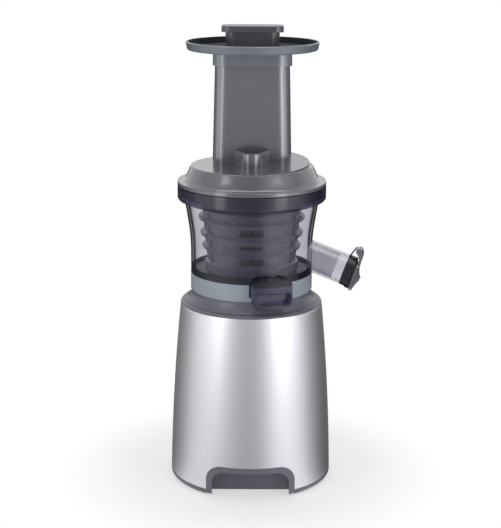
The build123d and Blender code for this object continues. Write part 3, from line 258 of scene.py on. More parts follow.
def pattern_surface(tree, shader, tones, sheen=None, relief=None):
    """Lay patterns over a shader: tones is (pattern, dark, light) for its colour, sheen is
    (pattern, smooth, rough) for its roughness, and relief is (pattern, depth in millimetres,
    strength) for its bumps."""
    pattern, dark, light = tones
    shade = {0: pattern, 6: colour_of(dark), 7: colour_of(light)}
    shade = add_node(tree, "ShaderNodeMix", shade, data_type="RGBA")
    tree.links.new(shade.outputs[2], shader.inputs["Base Color"])
    if sheen:
        uneven = spread_of(*sheen)
        uneven = add_node(tree, "ShaderNodeMapRange", uneven)
        tree.links.new(uneven.outputs["Result"], shader.inputs["Roughness"])
    if relief:
        height, depth_mm, strength = relief
        bump = {"Height": height, "Distance": depth_mm * MM, "Strength": strength}
        bump = add_node(tree, "ShaderNodeBump", bump)
        tree.links.new(bump.outputs["Normal"], shader.inputs["Normal"])


def within_heights(tree, low_mm, high_mm, reach_mm):
    """1 between two heights where X is below a reach, falling to 0 just outside each height."""
    place = add_node(tree, "ShaderNodeTexCoord").outputs["Object"]
    split = add_node(tree, "ShaderNodeSeparateXYZ", {"Vector": place})
    below, above = [
        add_node(
            tree,
            "ShaderNodeMapRange",
            {
                "Value": split.outputs["Z"],
                "From Min": limit * MM,
                "From Max": (limit + fade) * MM,
            },
        ).outputs["Result"]
        for limit, fade in ((low_mm, -ZONE_FADE_MM), (high_mm, ZONE_FADE_MM))
    ]
    outside = add_node(tree, "ShaderNodeMath", {0: below, 1: above}, operation="MAXIMUM")
    inside = {0: 1.0, 1: outside.outputs["Value"]}
    inside = add_node(tree, "ShaderNodeMath", inside, operation="SUBTRACT")
    near = {0: split.outputs["X"], 1: reach_mm * MM}
    near = add_node(tree, "ShaderNodeMath", near, operation="LESS_THAN")
    both = {0: inside.outputs["Value"], 1: near.outputs["Value"]}
    return add_node(tree, "ShaderNodeMath", both, operation="MULTIPLY").outputs["Value"]


# ------------------------------------------------------------------ finishes
def moulded_plastic(name, dark, light, roughness, coat=0.0, polish=0.5):
    """Plastic moulded in a polished or spark-eroded tool: even colour, faint flow marks and a
    sheen that is softer the rougher the tool was."""
    material, tree, shader = start_material(
        name, IOR=1.53, Coat_Weight=coat, Coat_Roughness=0.08, Specular_IOR_Level=polish
    )
    fine = grain(tree, TOOL_GRAIN_MM, detail=1)
    pattern_surface(
        tree,
        shader,
        tones=(grain(tree, FLOW_MARK_MM, detail=3), dark, light),
        sheen=(fine, roughness * (1 - PLASTIC_SPREAD), roughness * (1 + PLASTIC_SPREAD)),
        relief=(fine, 0.01, 0.25),
    )
    return material


def shaded_dish(name, dark, light, dish, roughness, polish):
    """Polished ABS whose dish is duller and rougher, with its colour there darkened as painted
    shade.
    """
    material = moulded_plastic(name, dark, light, roughness, polish=polish)
    tree = material.node_tree
    shader = tree.nodes["Principled BSDF"]
    place = add_node(tree, "ShaderNodeTexCoord").outputs["Object"]
    height = add_node(tree, "ShaderNodeSeparateXYZ", {"Vector": place}).outputs["Z"]
    centred = {0: place, 1: (0, -DISH_CENTRE_MM * MM, 0)}
    centred = add_node(tree, "ShaderNodeVectorMath", centred, operation="ADD").outputs["Vector"]
    flat = {0: centred, 1: (1, 1, 0)}
    flat = add_node(tree, "ShaderNodeVectorMath", flat, operation="MULTIPLY").outputs["Vector"]
    radius = add_node(tree, "ShaderNodeVectorMath", {0: flat}, operation="LENGTH").outputs["Value"]
    near = {0: radius, 1: DISH_RADIUS_MM * MM}
    near = add_node(tree, "ShaderNodeMath", near, operation="LESS_THAN")
    above = {0: height, 1: DISH_FLOOR_MM * MM}
    above = add_node(tree, "ShaderNodeMath", above, operation="GREATER_THAN")
    inside = {0: near.outputs["Value"], 1: above.outputs["Value"]}
    inside = add_node(tree, "ShaderNodeMath", inside, operation="MULTIPLY").outputs["Value"]
    for socket, bare, grained in (
        ("Specular IOR Level", polish, DISH_SPECULAR),
        ("Roughness", roughness, DISH_ROUGHNESS),
    ):
        mix = add_node(tree, "ShaderNodeMix", {0: inside, 2: bare, 3: grained})
        tree.links.new(mix.outputs[0], shader.inputs[socket])
    # Painted shade: inside the dish the colour turns dark, standing in for the shade that falls
    # there.
    outer = shader.inputs["Base Color"].links[0].from_socket
    shade = {0: inside, 6: outer, 7: colour_of(dish)}
    shade = add_node(tree, "ShaderNodeMix", shade, data_type="RGBA")
    tree.links.new(shade.outputs[2], shader.inputs["Base Color"])
    return material


def silver_lacquer(name, dark, light):
    """Silver metallic lacquer sprayed on ABS: aluminium flakes glint in a satin coat with faint
    orange peel."""
    material, tree, shader = start_material(
        name, Metallic=0.97, Coat_Weight=0.1, Coat_Roughness=0.22
    )
    flakes = grain(tree, FLAKE_MM, detail=2)
    pattern_surface(
        tree,
        shader,
        tones=(flakes, dark, light),
        sheen=(flakes, 0.36, 0.44),
        relief=(grain(tree, ORANGE_PEEL_MM, detail=1), 0.012, 0.3),
    )
    return material


def clear_plastic(
    name,
    tint,
    edge_tint,
    dark,
    light,
    share,
    slant=1.0,
    edge=(0.7, 0.92),
    gloss_roughness=0.05,
    zones=(),
):
    """Plastic moulded clear with a smoke tint: it lets light straight through its thin wall,
    goes dark where the wall turns edge-on, and mirrors more the flatter it is looked at.
    dark and light are the cloudy plastic's own colours, and share is how much of the light it
    scatters, times slant where the wall is seen edge-on and the light goes through more of it.
    edge is how far the wall has to turn before edge_tint starts, and before it is full."""
    material, tree, cloudy = start_material(name)
    facing = add_node(tree, "ShaderNodeLayerWeight", {"Blend": 0.5}).outputs["Facing"]
    turned = add_node(
        tree,
        "ShaderNodeMapRange",
        {"Value": facing, "From Min": edge[0], "From Max": edge[1]},
        interpolation_type="SMOOTHSTEP",
    ).outputs["Result"]
    flow = grain(tree, CLEAR_FLOW_MM, detail=2)
    pattern_surface(tree, cloudy, tones=(flow, dark, light), sheen=(flow, 0.2, 0.3))
    scatter = spread_of(flow, share * (1 - CLEAR_SPREAD), share * (1 + CLEAR_SPREAD))
    scatter = add_node(tree, "ShaderNodeMapRange", scatter).outputs["Result"]
    seen = colour_of(tint)
    for zone_tint, zone_share, *limits in zones:
        inside = within_heights(tree, *limits)
        seen = {0: inside, 6: seen, 7: colour_of(zone_tint)}
        seen = add_node(tree, "ShaderNodeMix", seen, data_type="RGBA").outputs[2]
        scatter = {0: inside, 2: scatter, 3: zone_share}
        scatter = add_node(tree, "ShaderNodeMix", scatter).outputs[0]
    longer = {"Value": facing, "To Min": 1.0, "To Max": slant}
    longer = add_node(tree, "ShaderNodeMapRange", longer).outputs["Result"]
    scatter = {0: scatter, 1: longer}
    scatter = add_node(tree, "ShaderNodeMath", scatter, operation="MULTIPLY", use_clamp=True)
    seen = {0: turned, 6: seen, 7: colour_of(edge_tint)}
    seen = add_node(tree, "ShaderNodeMix", seen, data_type="RGBA").outputs[2]
    through = add_node(tree, "ShaderNodeBsdfTransparent", {"Color": seen})
    wall = {
        0: scatter.outputs["Value"],
        1: through.outputs["BSDF"],
        2: cloudy.outputs["BSDF"],
    }
    wall = add_node(tree, "ShaderNodeMixShader", wall)
    gloss = {"Color": (1, 1, 1, 1), "Roughness": gloss_roughness}
    gloss = add_node(tree, "ShaderNodeBsdfGlossy", gloss)
    steep = add_node(tree, "ShaderNodeMath", {0: facing, 1: MIRROR_POWER}, operation="POWER")
    mirror = {
        "Value": steep.outputs["Value"],
        "To Min": PLASTIC_MIRROR,
        "To Max": EDGE_MIRROR,
    }
    mirror = add_node(tree, "ShaderNodeMapRange", mirror)
    both = {
        0: mirror.outputs["Result"],
        1: wall.outputs["Shader"],
        2: gloss.outputs["BSDF"],
    }
    both = add_node(tree, "ShaderNodeMixShader", both)
    tree.links.new(both.outputs["Shader"], tree.nodes["Material Output"].inputs["Surface"])
    return material


def rubber(name, dark, light):
    """Silicone or rubber from a matt tool: soft, dull and a little dusty."""
    material, tree, shader = start_material(name, Roughness=0.62, IOR=1.42)
    pattern_surface(
        tree,
        shader,
        tones=(grain(tree, RUBBER_DUST_MM, detail=4), dark, light),
        relief=(grain(tree, RUBBER_GRAIN_MM, detail=2), 0.02, 0.4),
    )
    return material


def turned_metal(name, dark, light, roughness):
    """Metal off the lathe: bright, with fine rings and streaks."""
    material, tree, shader = start_material(name, Metallic=1.0)
    place = add_node(tree, "ShaderNodeTexCoord").outputs["Object"]
    drawn_out = {"Vector": place, "Scale": TURNING_STRETCH}
    drawn_out = add_node(tree, "ShaderNodeMapping", drawn_out).outputs["Vector"]
    rings = {"Vector": drawn_out, "Scale": 1 / (TURNING_RING_MM * MM), "Detail": 2.0}
    rings = add_node(tree, "ShaderNodeTexNoise", rings).outputs["Fac"]
    pattern_surface(
        tree,
        shader,
        tones=(rings, dark, light),
        sheen=(rings, roughness * (1 - METAL_SPREAD), roughness * (1 + METAL_SPREAD)),
    )
    return material


# Every finish by the record's material slot, or by the piece where one differs from its slot:
# how it is made, its name, and its colours and gloss. A colour is a hex or a setting's name.
FINISHES = {
    # bright flakes in a satin coat
    "silver_shell": (
        silver_lacquer,
        "silver lacquer, sprayed",
        {"dark": "shell_dark", "light": "shell_light"},
    ),
    # dark even grey with a soft sheen
    "grey_shell": (
        moulded_plastic,
        "graphite ABS, satin moulded",
        {"dark": "grey_dark", "light": "grey_light", "roughness": 0.34},
    ),
    # the same grey with a bright, sharper gloss
    "lid_grey": (
        moulded_plastic,
        "graphite ABS, polished moulded",
        {"dark": "#5F5F69", "light": "#686872", "roughness": 0.2, "polish": 0.9},
    ),
    # pale ring that sets the bowl off from the base
    "pale_grey": (
        moulded_plastic,
        "blue-grey ABS, satin moulded",
        {"dark": "collar_dark", "light": "collar_light", "roughness": 0.34},
    ),
    # dull black-grey of parts that nobody polishes
    "dark_plastic": (
        moulded_plastic,
        "black polypropylene, moulded",
        {"dark": "#26272B", "light": "#303136", "roughness": 0.5},
    ),
    # deep black with a clear gloss
    "black_plastic": (
        moulded_plastic,
        "black ABS, glossy moulded",
        {"dark": "#0D0E12", "light": "#15161B", "roughness": 0.3},
    ),
    # waxy off-white
    "gear_nylon": (
        moulded_plastic,
        "natural nylon, moulded gear",
        {"dark": "#D8D5C6", "light": "#E4E1D3", "roughness": 0.45},
    ),
    # green lacquer over copper
    "board_green": (
        moulded_plastic,
        "solder-masked board",
        {"dark": "#1E5B33", "light": "#27703F", "roughness": 0.4},
    ),
    # nearly black with a hint of violet
    "auger_plastic": (
        moulded_plastic,
        "charcoal polyetherimide, moulded",
        {"dark": "#1B1A25", "light": "#24232F", "roughness": 0.32},
    ),
    # smoke that darkens towards its sides
    "filter_plastic": (
        clear_plastic,
        "smoke nylon, moulded filter",
        {
            "tint": "filter_tint",
            "edge_tint": "#3A3650",
            "dark": "#504C68",
            "light": "#5E5A78",
            "share": 0.11,
            "slant": 5.5,
        },
    ),
    # a clear wall between a dark floor and a dark flange
    "smoke_bowl": (
        clear_plastic,
        "smoke copolyester, clear moulded",
        {
            "tint": "bowl_tint",
            "edge_tint": "#2E2842",
            "dark": "#524E74",
            "light": "#5C587E",
            "share": 0.012,
            "edge": (0.66, 0.86),
            "gloss_roughness": 0.16,
            "zones": (BOWL_UNDERSIDE, BOWL_FLOOR, BOWL_FLANGE),
        },
    ),
    # milky smoke whose ribs catch the light
    "wiper_plastic": (
        clear_plastic,
        "smoke copolyester, ribbed wiper",
        {
            "tint": "wiper_tint",
            "edge_tint": "#3A3650",
            "dark": "#7F7A9B",
            "light": "#918CAE",
            "share": 0.17,
            "slant": 5.6,
            "edge": (0.72, 0.95),
        },
    ),
    # water-clear with grey outlines
    "clear_spout": (
        clear_plastic,
        "clear copolyester, moulded spout",
        {
            "tint": "spout_tint",
            "edge_tint": "#4C4A58",
            "dark": "#D8D8DE",
            "light": "#E2E2E8",
            "share": 0.05,
            "edge": (0.68, 0.86),
        },
    ),
    # soft dark grey
    "silicone": (rubber, "grey silicone, moulded", {"dark": "#2C2B33", "light": "#3A3942"}),
    # dull black
    "foot_rubber": (rubber, "black rubber, moulded pad", {"dark": "#17181A", "light": "#222326"}),
    # cool bright rings
    "steel": (
        turned_metal,
        "stainless steel, turned",
        {"dark": "#9B9DA1", "light": "#C3C5C9", "roughness": 0.28},
    ),
    # warm brown-gold
    "bronze": (
        turned_metal,
        "sintered bronze, turned",
        {"dark": "#8A6A3C", "light": "#A8854E", "roughness": 0.4},
    ),
    # lacquered red-brown
    "winding_copper": (
        turned_metal,
        "enamelled copper, wound",
        {"dark": "#8A4A22", "light": "#B0683A", "roughness": 0.35},
    ),
    # darker than the tube, under a thin clear gloss
    "lid": (
        moulded_plastic,
        "graphite ABS, high-gloss moulded",
        {"dark": "lid_dark", "light": "lid_light", "roughness": 0.2, "coat": 0.35, "polish": 0.9},
    ),
    # a bright rim round a duller dish whose dark colour is painted shade
    "food_tray": (
        shaded_dish,
        "blue-graphite ABS, textured dish",
        {
            "dark": "tray_dark",
            "light": "tray_light",
            "dish": "dish_painted_shade",
            "roughness": 0.24,
            "polish": 0.8,
        },
    ),
    # darker and softer than the tray round it
    "pusher": (
        moulded_plastic,
        "dark graphite ABS, satin moulded",
        {"dark": "pusher_dark", "light": "pusher_light", "roughness": 0.3},
    ),
    # as the shoulder that it belongs to
    "shoulder_rim": (
        moulded_plastic,
        "graphite ABS, satin rim",
        {"dark": "grey_dark", "light": "grey_light", "roughness": 0.34},
    ),
    # thick enough to go nearly black
    "chute_rim": (
        moulded_plastic,
        "smoke copolyester, thick bead",
        {"dark": "#211F33", "light": "#2A2840", "roughness": 0.3},
    ),
}


def finish_of(piece):
    """A piece's finish, made the first time it is asked for."""
    maker, name, settings = FINISHES[piece if piece in FINISHES else SLOTS[piece]]
    return bpy.data.materials.get(name) or maker(name, **settings)


# ------------------------------------------------------------------ settings
def colour(label, note, hex_colour):
    """A colour setting whose default is an sRGB hex."""
    return FloatVectorProperty(
        name=label, description=note, subtype="COLOR", size=3, default=linear(hex_colour)[:3]
    )


def length(label, note, millimetres):
    """A length setting, given in millimetres and kept in metres."""
    return FloatProperty(name=label, description=note, default=millimetres * MM, unit="LENGTH")


def angle(label, note, degrees):
    """An angle setting, given in degrees and kept in radians."""
    return FloatProperty(
        name=label, description=note, default=math.radians(degrees), unit="ROTATION"
    )


class JuicerColours(bpy.types.PropertyGroup):
    """Colours of the pieces that show."""

    shell_dark: colour("Shell, dark", "Silver lacquer between its flakes", "#CDCDD2")
    shell_light: colour("Shell, light", "Silver lacquer on its flakes", "#DEDEE3")
    grey_dark: colour("Base grey, dark", "Shoulder, arch and plinth", "#5E5F6A")
    grey_light: colour("Base grey, light", "Flow marks of the same", "#666873")
    collar_dark: colour("Collar, dark", "Ring under the bowl", "#919AA4")
    collar_light: colour("Collar, light", "Flow marks of the same", "#9BA4AE")
    bowl_tint: colour("Bowl tint", "What the bowl's wall lets through", "#EFEEF1")
    wiper_tint: colour("Wiper tint", "What the wiper lets through", "#C9C6D4")
    filter_tint: colour("Filter tint", "What the filter lets through", "#B4B1C2")
    spout_tint: colour("Spout tint", "What the spout's sleeve lets through", "#F0F0F3")
    lid_dark: colour("Lid, dark", "Lid", "#51515B")
    lid_light: colour("Lid, light", "Flow marks of the same", "#5A5A64")
    tray_dark: colour("Tray, dark", "Food tray outside its dish", "#6A6F79")
    tray_light: colour("Tray, light", "Flow marks of the same", "#727782")
    # Painted shade: the dish's dark colour stands in for the shade inside the food tray.
    dish_painted_shade: colour("Dish", "Matt floor of the food tray, darkened as painted shade", "#24272E")
    pusher_dark: colour("Pusher, dark", "Pusher and its cap", "#4E5059")
    pusher_light: colour("Pusher, light", "Flow marks of the same", "#565862")


class JuicerTrimSettings(bpy.types.PropertyGroup):
    """Sizes of the added trim."""

    rim_middle: length("Rim centre radius", "Centre of the rim's round, from the drive axis", 63.5)
    rim_height: length("Rim centre height", "Centre of the rim's round, above the floor", 172.5)
    rim_inner: length("Rim inner round", "Just inside the shell's own 4 mm round", 3.8)
    rim_outer: length("Rim outer round", "The rim's outer face", 4.4)
    mouth_angle: angle("Mouth angle", "Pulp chute's turn from the front", 17.5)
    mouth_reach: length("Mouth reach", "Chute's front face, from the drive axis", 69.0)
    mouth_width: length("Mouth width", "Between the middles of the side walls", 34.9)
    mouth_bottom: length("Mouth bottom", "Middle of the lower wall", 185.0)
    mouth_top: length("Mouth top", "Middle of the upper edge", 199.0)
    mouth_corner: length("Mouth corner", "Round of the mouth's corners", 5.2)
    bead_radius: length("Bead radius", "Round bead on the mouth's edge", 1.25)


class JuicerStudioSettings(bpy.types.PropertyGroup):
    """Sizes of the studio and the camera."""

    camera_distance: length("Camera distance", "From the drive axis, along the floor", 1250)
    camera_side: length("Camera side step", "Right of the drive axis", -0.9)
    camera_height: length("Camera height", "Above the floor", 526)
    camera_pitch: angle("Camera pitch", "Tilt below the horizon", 14.2)
    camera_roll: angle("Camera roll", "Turn about the line of sight", 0.3)
    focal_pixels: FloatProperty(
        name="Focal length in pixels",
        description="At an image height of 528 pixels",
        default=1345.0,
        subtype="PIXEL",
    )
    floor_size: length("Floor size", "Side of the paper floor", 12000)
    floor_colour: FloatVectorProperty(
        name="Floor colour",
        description="Paper sweep",
        subtype="COLOR",
        size=3,
        default=(0.93, 0.93, 0.94),
    )
    shadow_inner: length("Shadow radius", "Up to here the floor shows its shadow in full", 100)
    shadow_outer: length("White radius", "From here on the floor is plain white", 200)
    shadow_lift: FloatProperty(
        name="Shadow lift",
        description="Share of plain white under the object",
        default=0.55,
        min=0,
        max=1,
        subtype="FACTOR",
    )
    key_power: FloatProperty(
        name="Key power", description="Left soft box", default=3.8, unit="POWER"
    )
    fill_power: FloatProperty(
        name="Fill power", description="Right soft box", default=5.0, unit="POWER"
    )
    top_power: FloatProperty(
        name="Top power", description="Overhead soft box", default=5.0, unit="POWER"
    )
    world_strength: FloatProperty(
        name="World strength", description="Even light all round", default=0.42
    )


# ------------------------------------------------------------------ CAD nodes
def dress(group):
    """Give a group's CAD nodes their finishes, shade them smooth and keep their real edges."""
    for name in PIECES[group]:
        mesh = frame["nodes"][name].data
        mesh.materials.clear()
        mesh.materials.append(finish_of(name))
        mesh.shade_smooth()
        mesh.set_sharp_from_angle(angle=math.radians(SHARP_EDGE_DEGREES))


class JUICER_OT_base(bpy.types.Operator):
    """Dress the motor base: shell, mouldings, collar, feet, switch and board"""

    bl_idname = "juicer.base"
    bl_label = "Motor base"

    def execute(self, context):
        dress("base")
        return {"FINISHED"}


class JUICER_OT_drive(bpy.types.Operator):
    """Dress the motor, the reduction gear and the drive shaft"""

    bl_idname = "juicer.drive"
    bl_label = "Motor and gears"

    def execute(self, context):
        dress("drive")
        return {"FINISHED"}


class JUICER_OT_vessel(bpy.types.Operator):
    """Dress the bowl with its auger, filter and wiper"""

    bl_idname = "juicer.vessel"
    bl_label = "Bowl and auger"

    def execute(self, context):
        dress("vessel")
        return {"FINISHED"}


class JUICER_OT_spout(bpy.types.Operator):
    """Dress the juice spout and its drip-stop tap"""

    bl_idname = "juicer.spout"
    bl_label = "Spout and tap"

    def execute(self, context):
        dress("spout")
        return {"FINISHED"}


class JUICER_OT_top(bpy.types.Operator):
    """Dress the lid, the feed tube, the food tray and the pusher"""

    bl_idname = "juicer.top"
    bl_label = "Lid, tray and pusher"

    def execute(self, context):
        dress("top")
        return {"FINISHED"}


# ------------------------------------------------------------------ trim
def ring_of_sections(name, sections, body):
    """A closed tube through sections of equally many points, one after the other all round."""
    points = [point for section in sections for point in section]
    around, count = len(sections), len(sections[0])
    faces = [
        (
            i * count + j,
            i * count + (j + 1) % count,
            (i + 1) % around * count + (j + 1) % count,
            (i + 1) % around * count + j,
        )
        for i in range(around)
        for j in range(count)
    ]
    mesh = bpy.data.meshes.new(name)
    mesh.from_pydata([Vector(point) for point in points], [], faces)
    mesh.shade_smooth()
    mesh.materials.append(finish_of(name))
    piece = bpy.data.objects.new(name, mesh)
    bpy.context.scene.collection.objects.link(piece)
    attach(piece, body)
    return piece


class JUICER_OT_shoulder_rim(bpy.types.Operator):
    """Add the shoulder's rim, a thin skin that laps over the shell's rounded edge"""

    bl_idname = "juicer.shoulder_rim"
    bl_label = "Shoulder rim"

    def execute(self, context):
        settings = context.scene.juicer_trim
        low, high = RIM_ROUND
        profile = []
        for radius, start, end in (
            (settings.rim_outer, high, low),
            (settings.rim_inner, low, high),
        ):
            for step in range(RIM_STEPS + 1):
                turn = math.radians(start + (end - start) * step / RIM_STEPS)
                out = settings.rim_middle + radius * math.cos(turn)
                profile.append((out, settings.rim_height + radius * math.sin(turn)))
        sections = []
        for step in range(RIM_SECTIONS):
            way = 2 * math.pi * step / RIM_SECTIONS
            sections.append([(r * math.cos(way), r * math.sin(way), z) for r, z in profile])
        ring_of_sections("shoulder_rim", sections, "base")
        return {"FINISHED"}


def mouth_outline(settings):
    """The pulp chute's mouth laid flat: a rounded rectangle as points across and up."""
    half, corner = settings.mouth_width / 2, settings.mouth_corner
    low, high = settings.mouth_bottom, settings.mouth_top
    outline = []
    for across, up, start in (
        (half - corner, high - corner, 0),
        (corner - half, high - corner, 90),
        (corner - half, low + corner, 180),
        (half - corner, low + corner, 270),
    ):
        for step in range(CORNER_STEPS + 1):
            turn = math.radians(start + 90 * step / CORNER_STEPS)
            outline.append((across + corner * math.cos(turn), up + corner * math.sin(turn)))
    return outline


class JUICER_OT_chute_rim(bpy.types.Operator):
    """Add the round bead on the edge of the pulp chute's mouth"""

    bl_idname = "juicer.chute_rim"
    bl_label = "Chute rim"

    def execute(self, context):
        settings = context.scene.juicer_trim
        way = settings.mouth_angle
        outwards = Vector((math.sin(way), -math.cos(way), 0))
        sideways = Vector((math.cos(way), math.sin(way), 0))
        path = [
            outwards * math.sqrt(settings.mouth_reach**2 - across * across)
            + sideways * across
            + Vector((0, 0, up))
            for across, up in mouth_outline(settings)
        ]
        sections = []
        for index, point in enumerate(path):
            along = (path[(index + 1) % len(path)] - path[index - 1]).normalized()
            aside = along.cross(outwards).normalized()
            front = aside.cross(along).normalized()
            turns = [2 * math.pi * step / BEAD_SIDES for step in range(BEAD_SIDES)]
            sections.append(
                [
                    point + settings.bead_radius * (aside * math.cos(turn) + front * math.sin(turn))
                    for turn in turns
                ]
            )
        ring_of_sections("chute_rim", sections, "bowl")
        return {"FINISHED"}


# ------------------------------------------------------------------ studio
def seen_directly(tree):
    """1 for the rays that meet plain white: from the camera and through glass."""
    path = add_node(tree, "ShaderNodeLightPath")
    straight = {0: path.outputs["Is Camera Ray"], 1: path.outputs["Is Transmission Ray"]}
    return add_node(tree, "ShaderNodeMath", straight, operation="MAXIMUM").outputs["Value"]


def mirrored_studio(tree, way, shader, boards):
    """Over a shader, what gloss sees of the studio along a way from the drive axis: pale boards
    beside the camera, and behind them those that the list gives. Close to the base the way starts
    at its wall and not at the axis, so there the turn is taken wider. Past BOARD_DISTANCE the
    boards gain contrast and strength."""
    split = add_node(tree, "ShaderNodeSeparateXYZ", {"Vector": way})
    forward = {0: split.outputs["Y"], 1: -1.0}
    forward = add_node(tree, "ShaderNodeMath", forward, operation="MULTIPLY").outputs["Value"]
    turn = {0: split.outputs["X"], 1: forward}
    turn = add_node(tree, "ShaderNodeMath", turn, operation="ARCTAN2").outputs["Value"]
    reach = add_node(tree, "ShaderNodeVectorMath", {0: way}, operation="LENGTH").outputs["Value"]
    nearness = {0: BASE_RADIUS / 2, 1: reach}
    nearness = add_node(tree, "ShaderNodeMath", nearness, operation="DIVIDE").outputs["Value"]
    seen_turn = {0: turn, 1: nearness, 2: turn}
    seen_turn = add_node(tree, "ShaderNodeMath", seen_turn, operation="MULTIPLY_ADD")
    share = {"Value": seen_turn.outputs["Value"], "From Min": -math.pi, "From Max": math.pi}
    share = add_node(tree, "ShaderNodeMapRange", share)
    ramp = add_node(tree, "ShaderNodeValToRGB", {"Fac": share.outputs["Result"]})
    stops = ramp.color_ramp.elements
    while len(stops) < len(boards):
        stops.new(1.0)
    for stop, (degrees, level) in zip(stops, boards):
        stop.position = degrees / 360 + 0.5
        stop.color = (level, level, level, 1)
    far = {
        "Value": reach,
        "From Min": BOARD_DISTANCE,
        "From Max": BOARD_DISTANCE * BOARD_FADE,
    }
    far = add_node(tree, "ShaderNodeMapRange", far).outputs["Result"]
    power = add_node(tree, "ShaderNodeMath", {0: far, 1: 1.0}, operation="ADD")
    level = {0: ramp.outputs["Color"], 1: power.outputs["Value"]}
    level = add_node(tree, "ShaderNodeMath", level, operation="POWER")
    gain = {0: far, 1: BOARD_GAIN, 2: 1.0}
    gain = add_node(tree, "ShaderNodeMath", gain, operation="MULTIPLY_ADD")
    board = {"Color": level.outputs["Value"], "Strength": gain.outputs["Value"]}
    board = add_node(tree, "ShaderNodeEmission", board)
    gloss = add_node(tree, "ShaderNodeLightPath").outputs["Is Glossy Ray"]
    both = {0: gloss, 1: shader, 2: board.outputs["Emission"]}
    return add_node(tree, "ShaderNodeMixShader", both).outputs["Shader"]


def build_floor(settings):
    """A pale paper floor: it takes the object's shadow close by, and is plain white farther out."""
    half = settings.floor_size / 2
    corners = [(-half, -half, 0), (half, -half, 0), (half, half, 0), (-half, half, 0)]
    mesh = bpy.data.meshes.new("floor")
    mesh.from_pydata(corners, [], [(0, 1, 2, 3)])
    floor = bpy.data.objects.new("floor", mesh)
    bpy.context.scene.collection.objects.link(floor)
    material, tree, shader = start_material("paper sweep, matt", Roughness=0.9)
    shader.inputs["Base Color"].default_value = (*settings.floor_colour, 1.0)
    place = add_node(tree, "ShaderNodeTexCoord").outputs["Object"]
    distance = add_node(tree, "ShaderNodeVectorMath", {0: place}, operation="LENGTH")
    far = add_node(
        tree,
        "ShaderNodeMapRange",
        {
            "Value": distance.outputs["Value"],
            "From Min": settings.shadow_inner,
            "From Max": settings.shadow_outer,
        },
        interpolation_type="SMOOTHSTEP",
    )
    lift = {"Value": far.outputs["Result"], "To Min": settings.shadow_lift, "To Max": 1.0}
    lift = add_node(tree, "ShaderNodeMapRange", lift)
    white_share = {0: lift.outputs["Result"], 1: seen_directly(tree)}
    white_share = add_node(tree, "ShaderNodeMath", white_share, operation="MULTIPLY")
    white = add_node(tree, "ShaderNodeEmission", {"Color": (1, 1, 1, 1), "Strength": 1.0})
    mix = {
        0: white_share.outputs["Value"],
        1: shader.outputs["BSDF"],
        2: white.outputs["Emission"],
    }
    mix = add_node(tree, "ShaderNodeMixShader", mix)
    seen = mirrored_studio(tree, place, mix.outputs["Shader"], STUDIO_BOARDS)
    tree.links.new(seen, tree.nodes["Material Output"].inputs["Surface"])
    mesh.materials.append(material)


def build_world(settings):
    """Even light for the object, plain white for camera and glass rays that meet the sky, and
    the boards for gloss."""
    world = bpy.data.worlds.new("studio")
    bpy.context.scene.world = world
    world.use_nodes = True
    tree = world.node_tree
    light = tree.nodes["Background"]
    light.inputs["Color"].default_value = (1, 1, 1, 1)
    light.inputs["Strength"].default_value = settings.world_strength
    white = add_node(tree, "ShaderNodeBackground", {"Color": (1, 1, 1, 1), "Strength": 1.0})
    way = add_node(tree, "ShaderNodeTexCoord").outputs["Generated"]
    mix = {
        0: seen_directly(tree),
        1: light.outputs["Background"],
        2: white.outputs["Background"],
    }
    mix = add_node(tree, "ShaderNodeMixShader", mix)
    seen = mirrored_studio(tree, way, mix.outputs["Shader"], SKY_BOARDS)
    tree.links.new(seen, tree.nodes["World Output"].inputs["Surface"])


def soft_box(name, box, power):
    """A rectangular area lamp at its place, aimed at the middle of the juicer."""
    place, width, height = box
    lamp = bpy.data.lights.new(name, "AREA")
    lamp.shape = "RECTANGLE"
    lamp.size = width
    lamp.size_y = height
    lamp.energy = power
    made = bpy.data.objects.new(name, lamp)
    made.location = place
    aim = Vector(LAMP_AIM) - Vector(place)
    made.rotation_euler = aim.to_track_quat("-Z", "Y").to_euler()
    bpy.context.scene.collection.objects.link(made)


def build_camera(settings):
    """The camera at the height and distance of a table-top product view."""
    lens = bpy.data.cameras.new("camera")
    lens.sensor_width = SENSOR_MM
    lens.lens = settings.focal_pixels * SENSOR_MM / IMAGE_HEIGHT
    lens.clip_start = CLIP_START
    camera = bpy.data.objects.new("camera", lens)
    camera.location = (settings.camera_side, -settings.camera_distance, settings.camera_height)
    level = Matrix.Rotation(math.pi / 2 - settings.camera_pitch, 3, "X")
    roll = Matrix.Rotation(settings.camera_roll, 3, "Z")
    camera.rotation_euler = (level @ roll).to_euler()
    bpy.context.scene.collection.objects.link(camera)
    bpy.context.scene.camera = camera


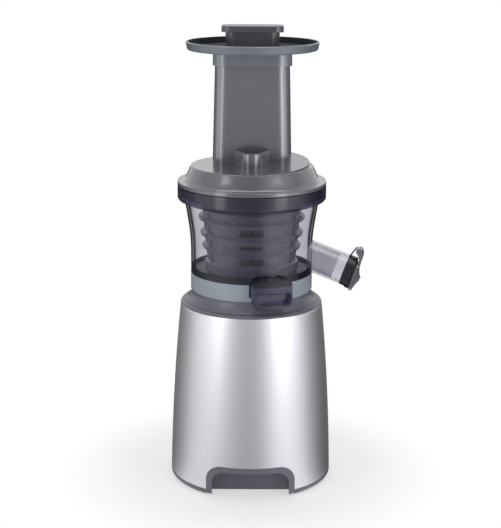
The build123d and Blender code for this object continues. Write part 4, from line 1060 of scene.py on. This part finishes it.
class JUICER_OT_studio(bpy.types.Operator):
    """Build the floor, the backdrop, the lamps and the camera"""

    bl_idname = "juicer.studio"
    bl_label = "Studio"

    def execute(self, context):
        settings = context.scene.juicer_studio
        build_floor(settings)
        build_world(settings)
        soft_box("left soft box", LEFT_BOX, settings.key_power)
        soft_box("right soft box", RIGHT_BOX, settings.fill_power)
        soft_box("top soft box", TOP_BOX, settings.top_power)
        build_camera(settings)
        context.scene.view_settings.view_transform = "Standard"
        return {"FINISHED"}


# ------------------------------------------------------------------ add-on
class JUICER_PT_panel(bpy.types.Panel):
    """The juicer's steps, in order"""

    bl_label = "Cold press juicer"
    bl_idname = "JUICER_PT_panel"
    bl_space_type = "VIEW_3D"
    bl_region_type = "UI"
    bl_category = "Juicer"

    def draw(self, context):
        for operator in OPERATORS:
            self.layout.operator(operator.bl_idname)


OPERATORS = (
    JUICER_OT_base,
    JUICER_OT_drive,
    JUICER_OT_vessel,
    JUICER_OT_spout,
    JUICER_OT_top,
    JUICER_OT_shoulder_rim,
    JUICER_OT_chute_rim,
    JUICER_OT_studio,
)
SETTINGS = {
    "juicer_colours": JuicerColours,
    "juicer_trim": JuicerTrimSettings,
    "juicer_studio": JuicerStudioSettings,
}
CLASSES = (*SETTINGS.values(), *OPERATORS, JUICER_PT_panel)


def register():
    """Register the classes and hang their settings on the scene."""
    for kind in CLASSES:
        bpy.utils.register_class(kind)
    for name, kind in SETTINGS.items():
        setattr(bpy.types.Scene, name, PointerProperty(type=kind))


def unregister():
    """Take the settings and the classes away again."""
    for name in SETTINGS:
        delattr(bpy.types.Scene, name)
    for kind in reversed(CLASSES):
        bpy.utils.unregister_class(kind)


def main():
    """Make sure every CAD node belongs to a group, then run every step in order."""
    bare = set(SLOTS).difference(*PIECES.values())
    if bare:
        raise RuntimeError(f"no group dresses {sorted(bare)}")
    register()
    bpy.ops.juicer.base()
    bpy.ops.juicer.drive()
    bpy.ops.juicer.vessel()
    bpy.ops.juicer.spout()
    bpy.ops.juicer.top()
    bpy.ops.juicer.shoulder_rim()
    bpy.ops.juicer.chute_rim()
    bpy.ops.juicer.studio()


if __name__ == "__main__":
    main()
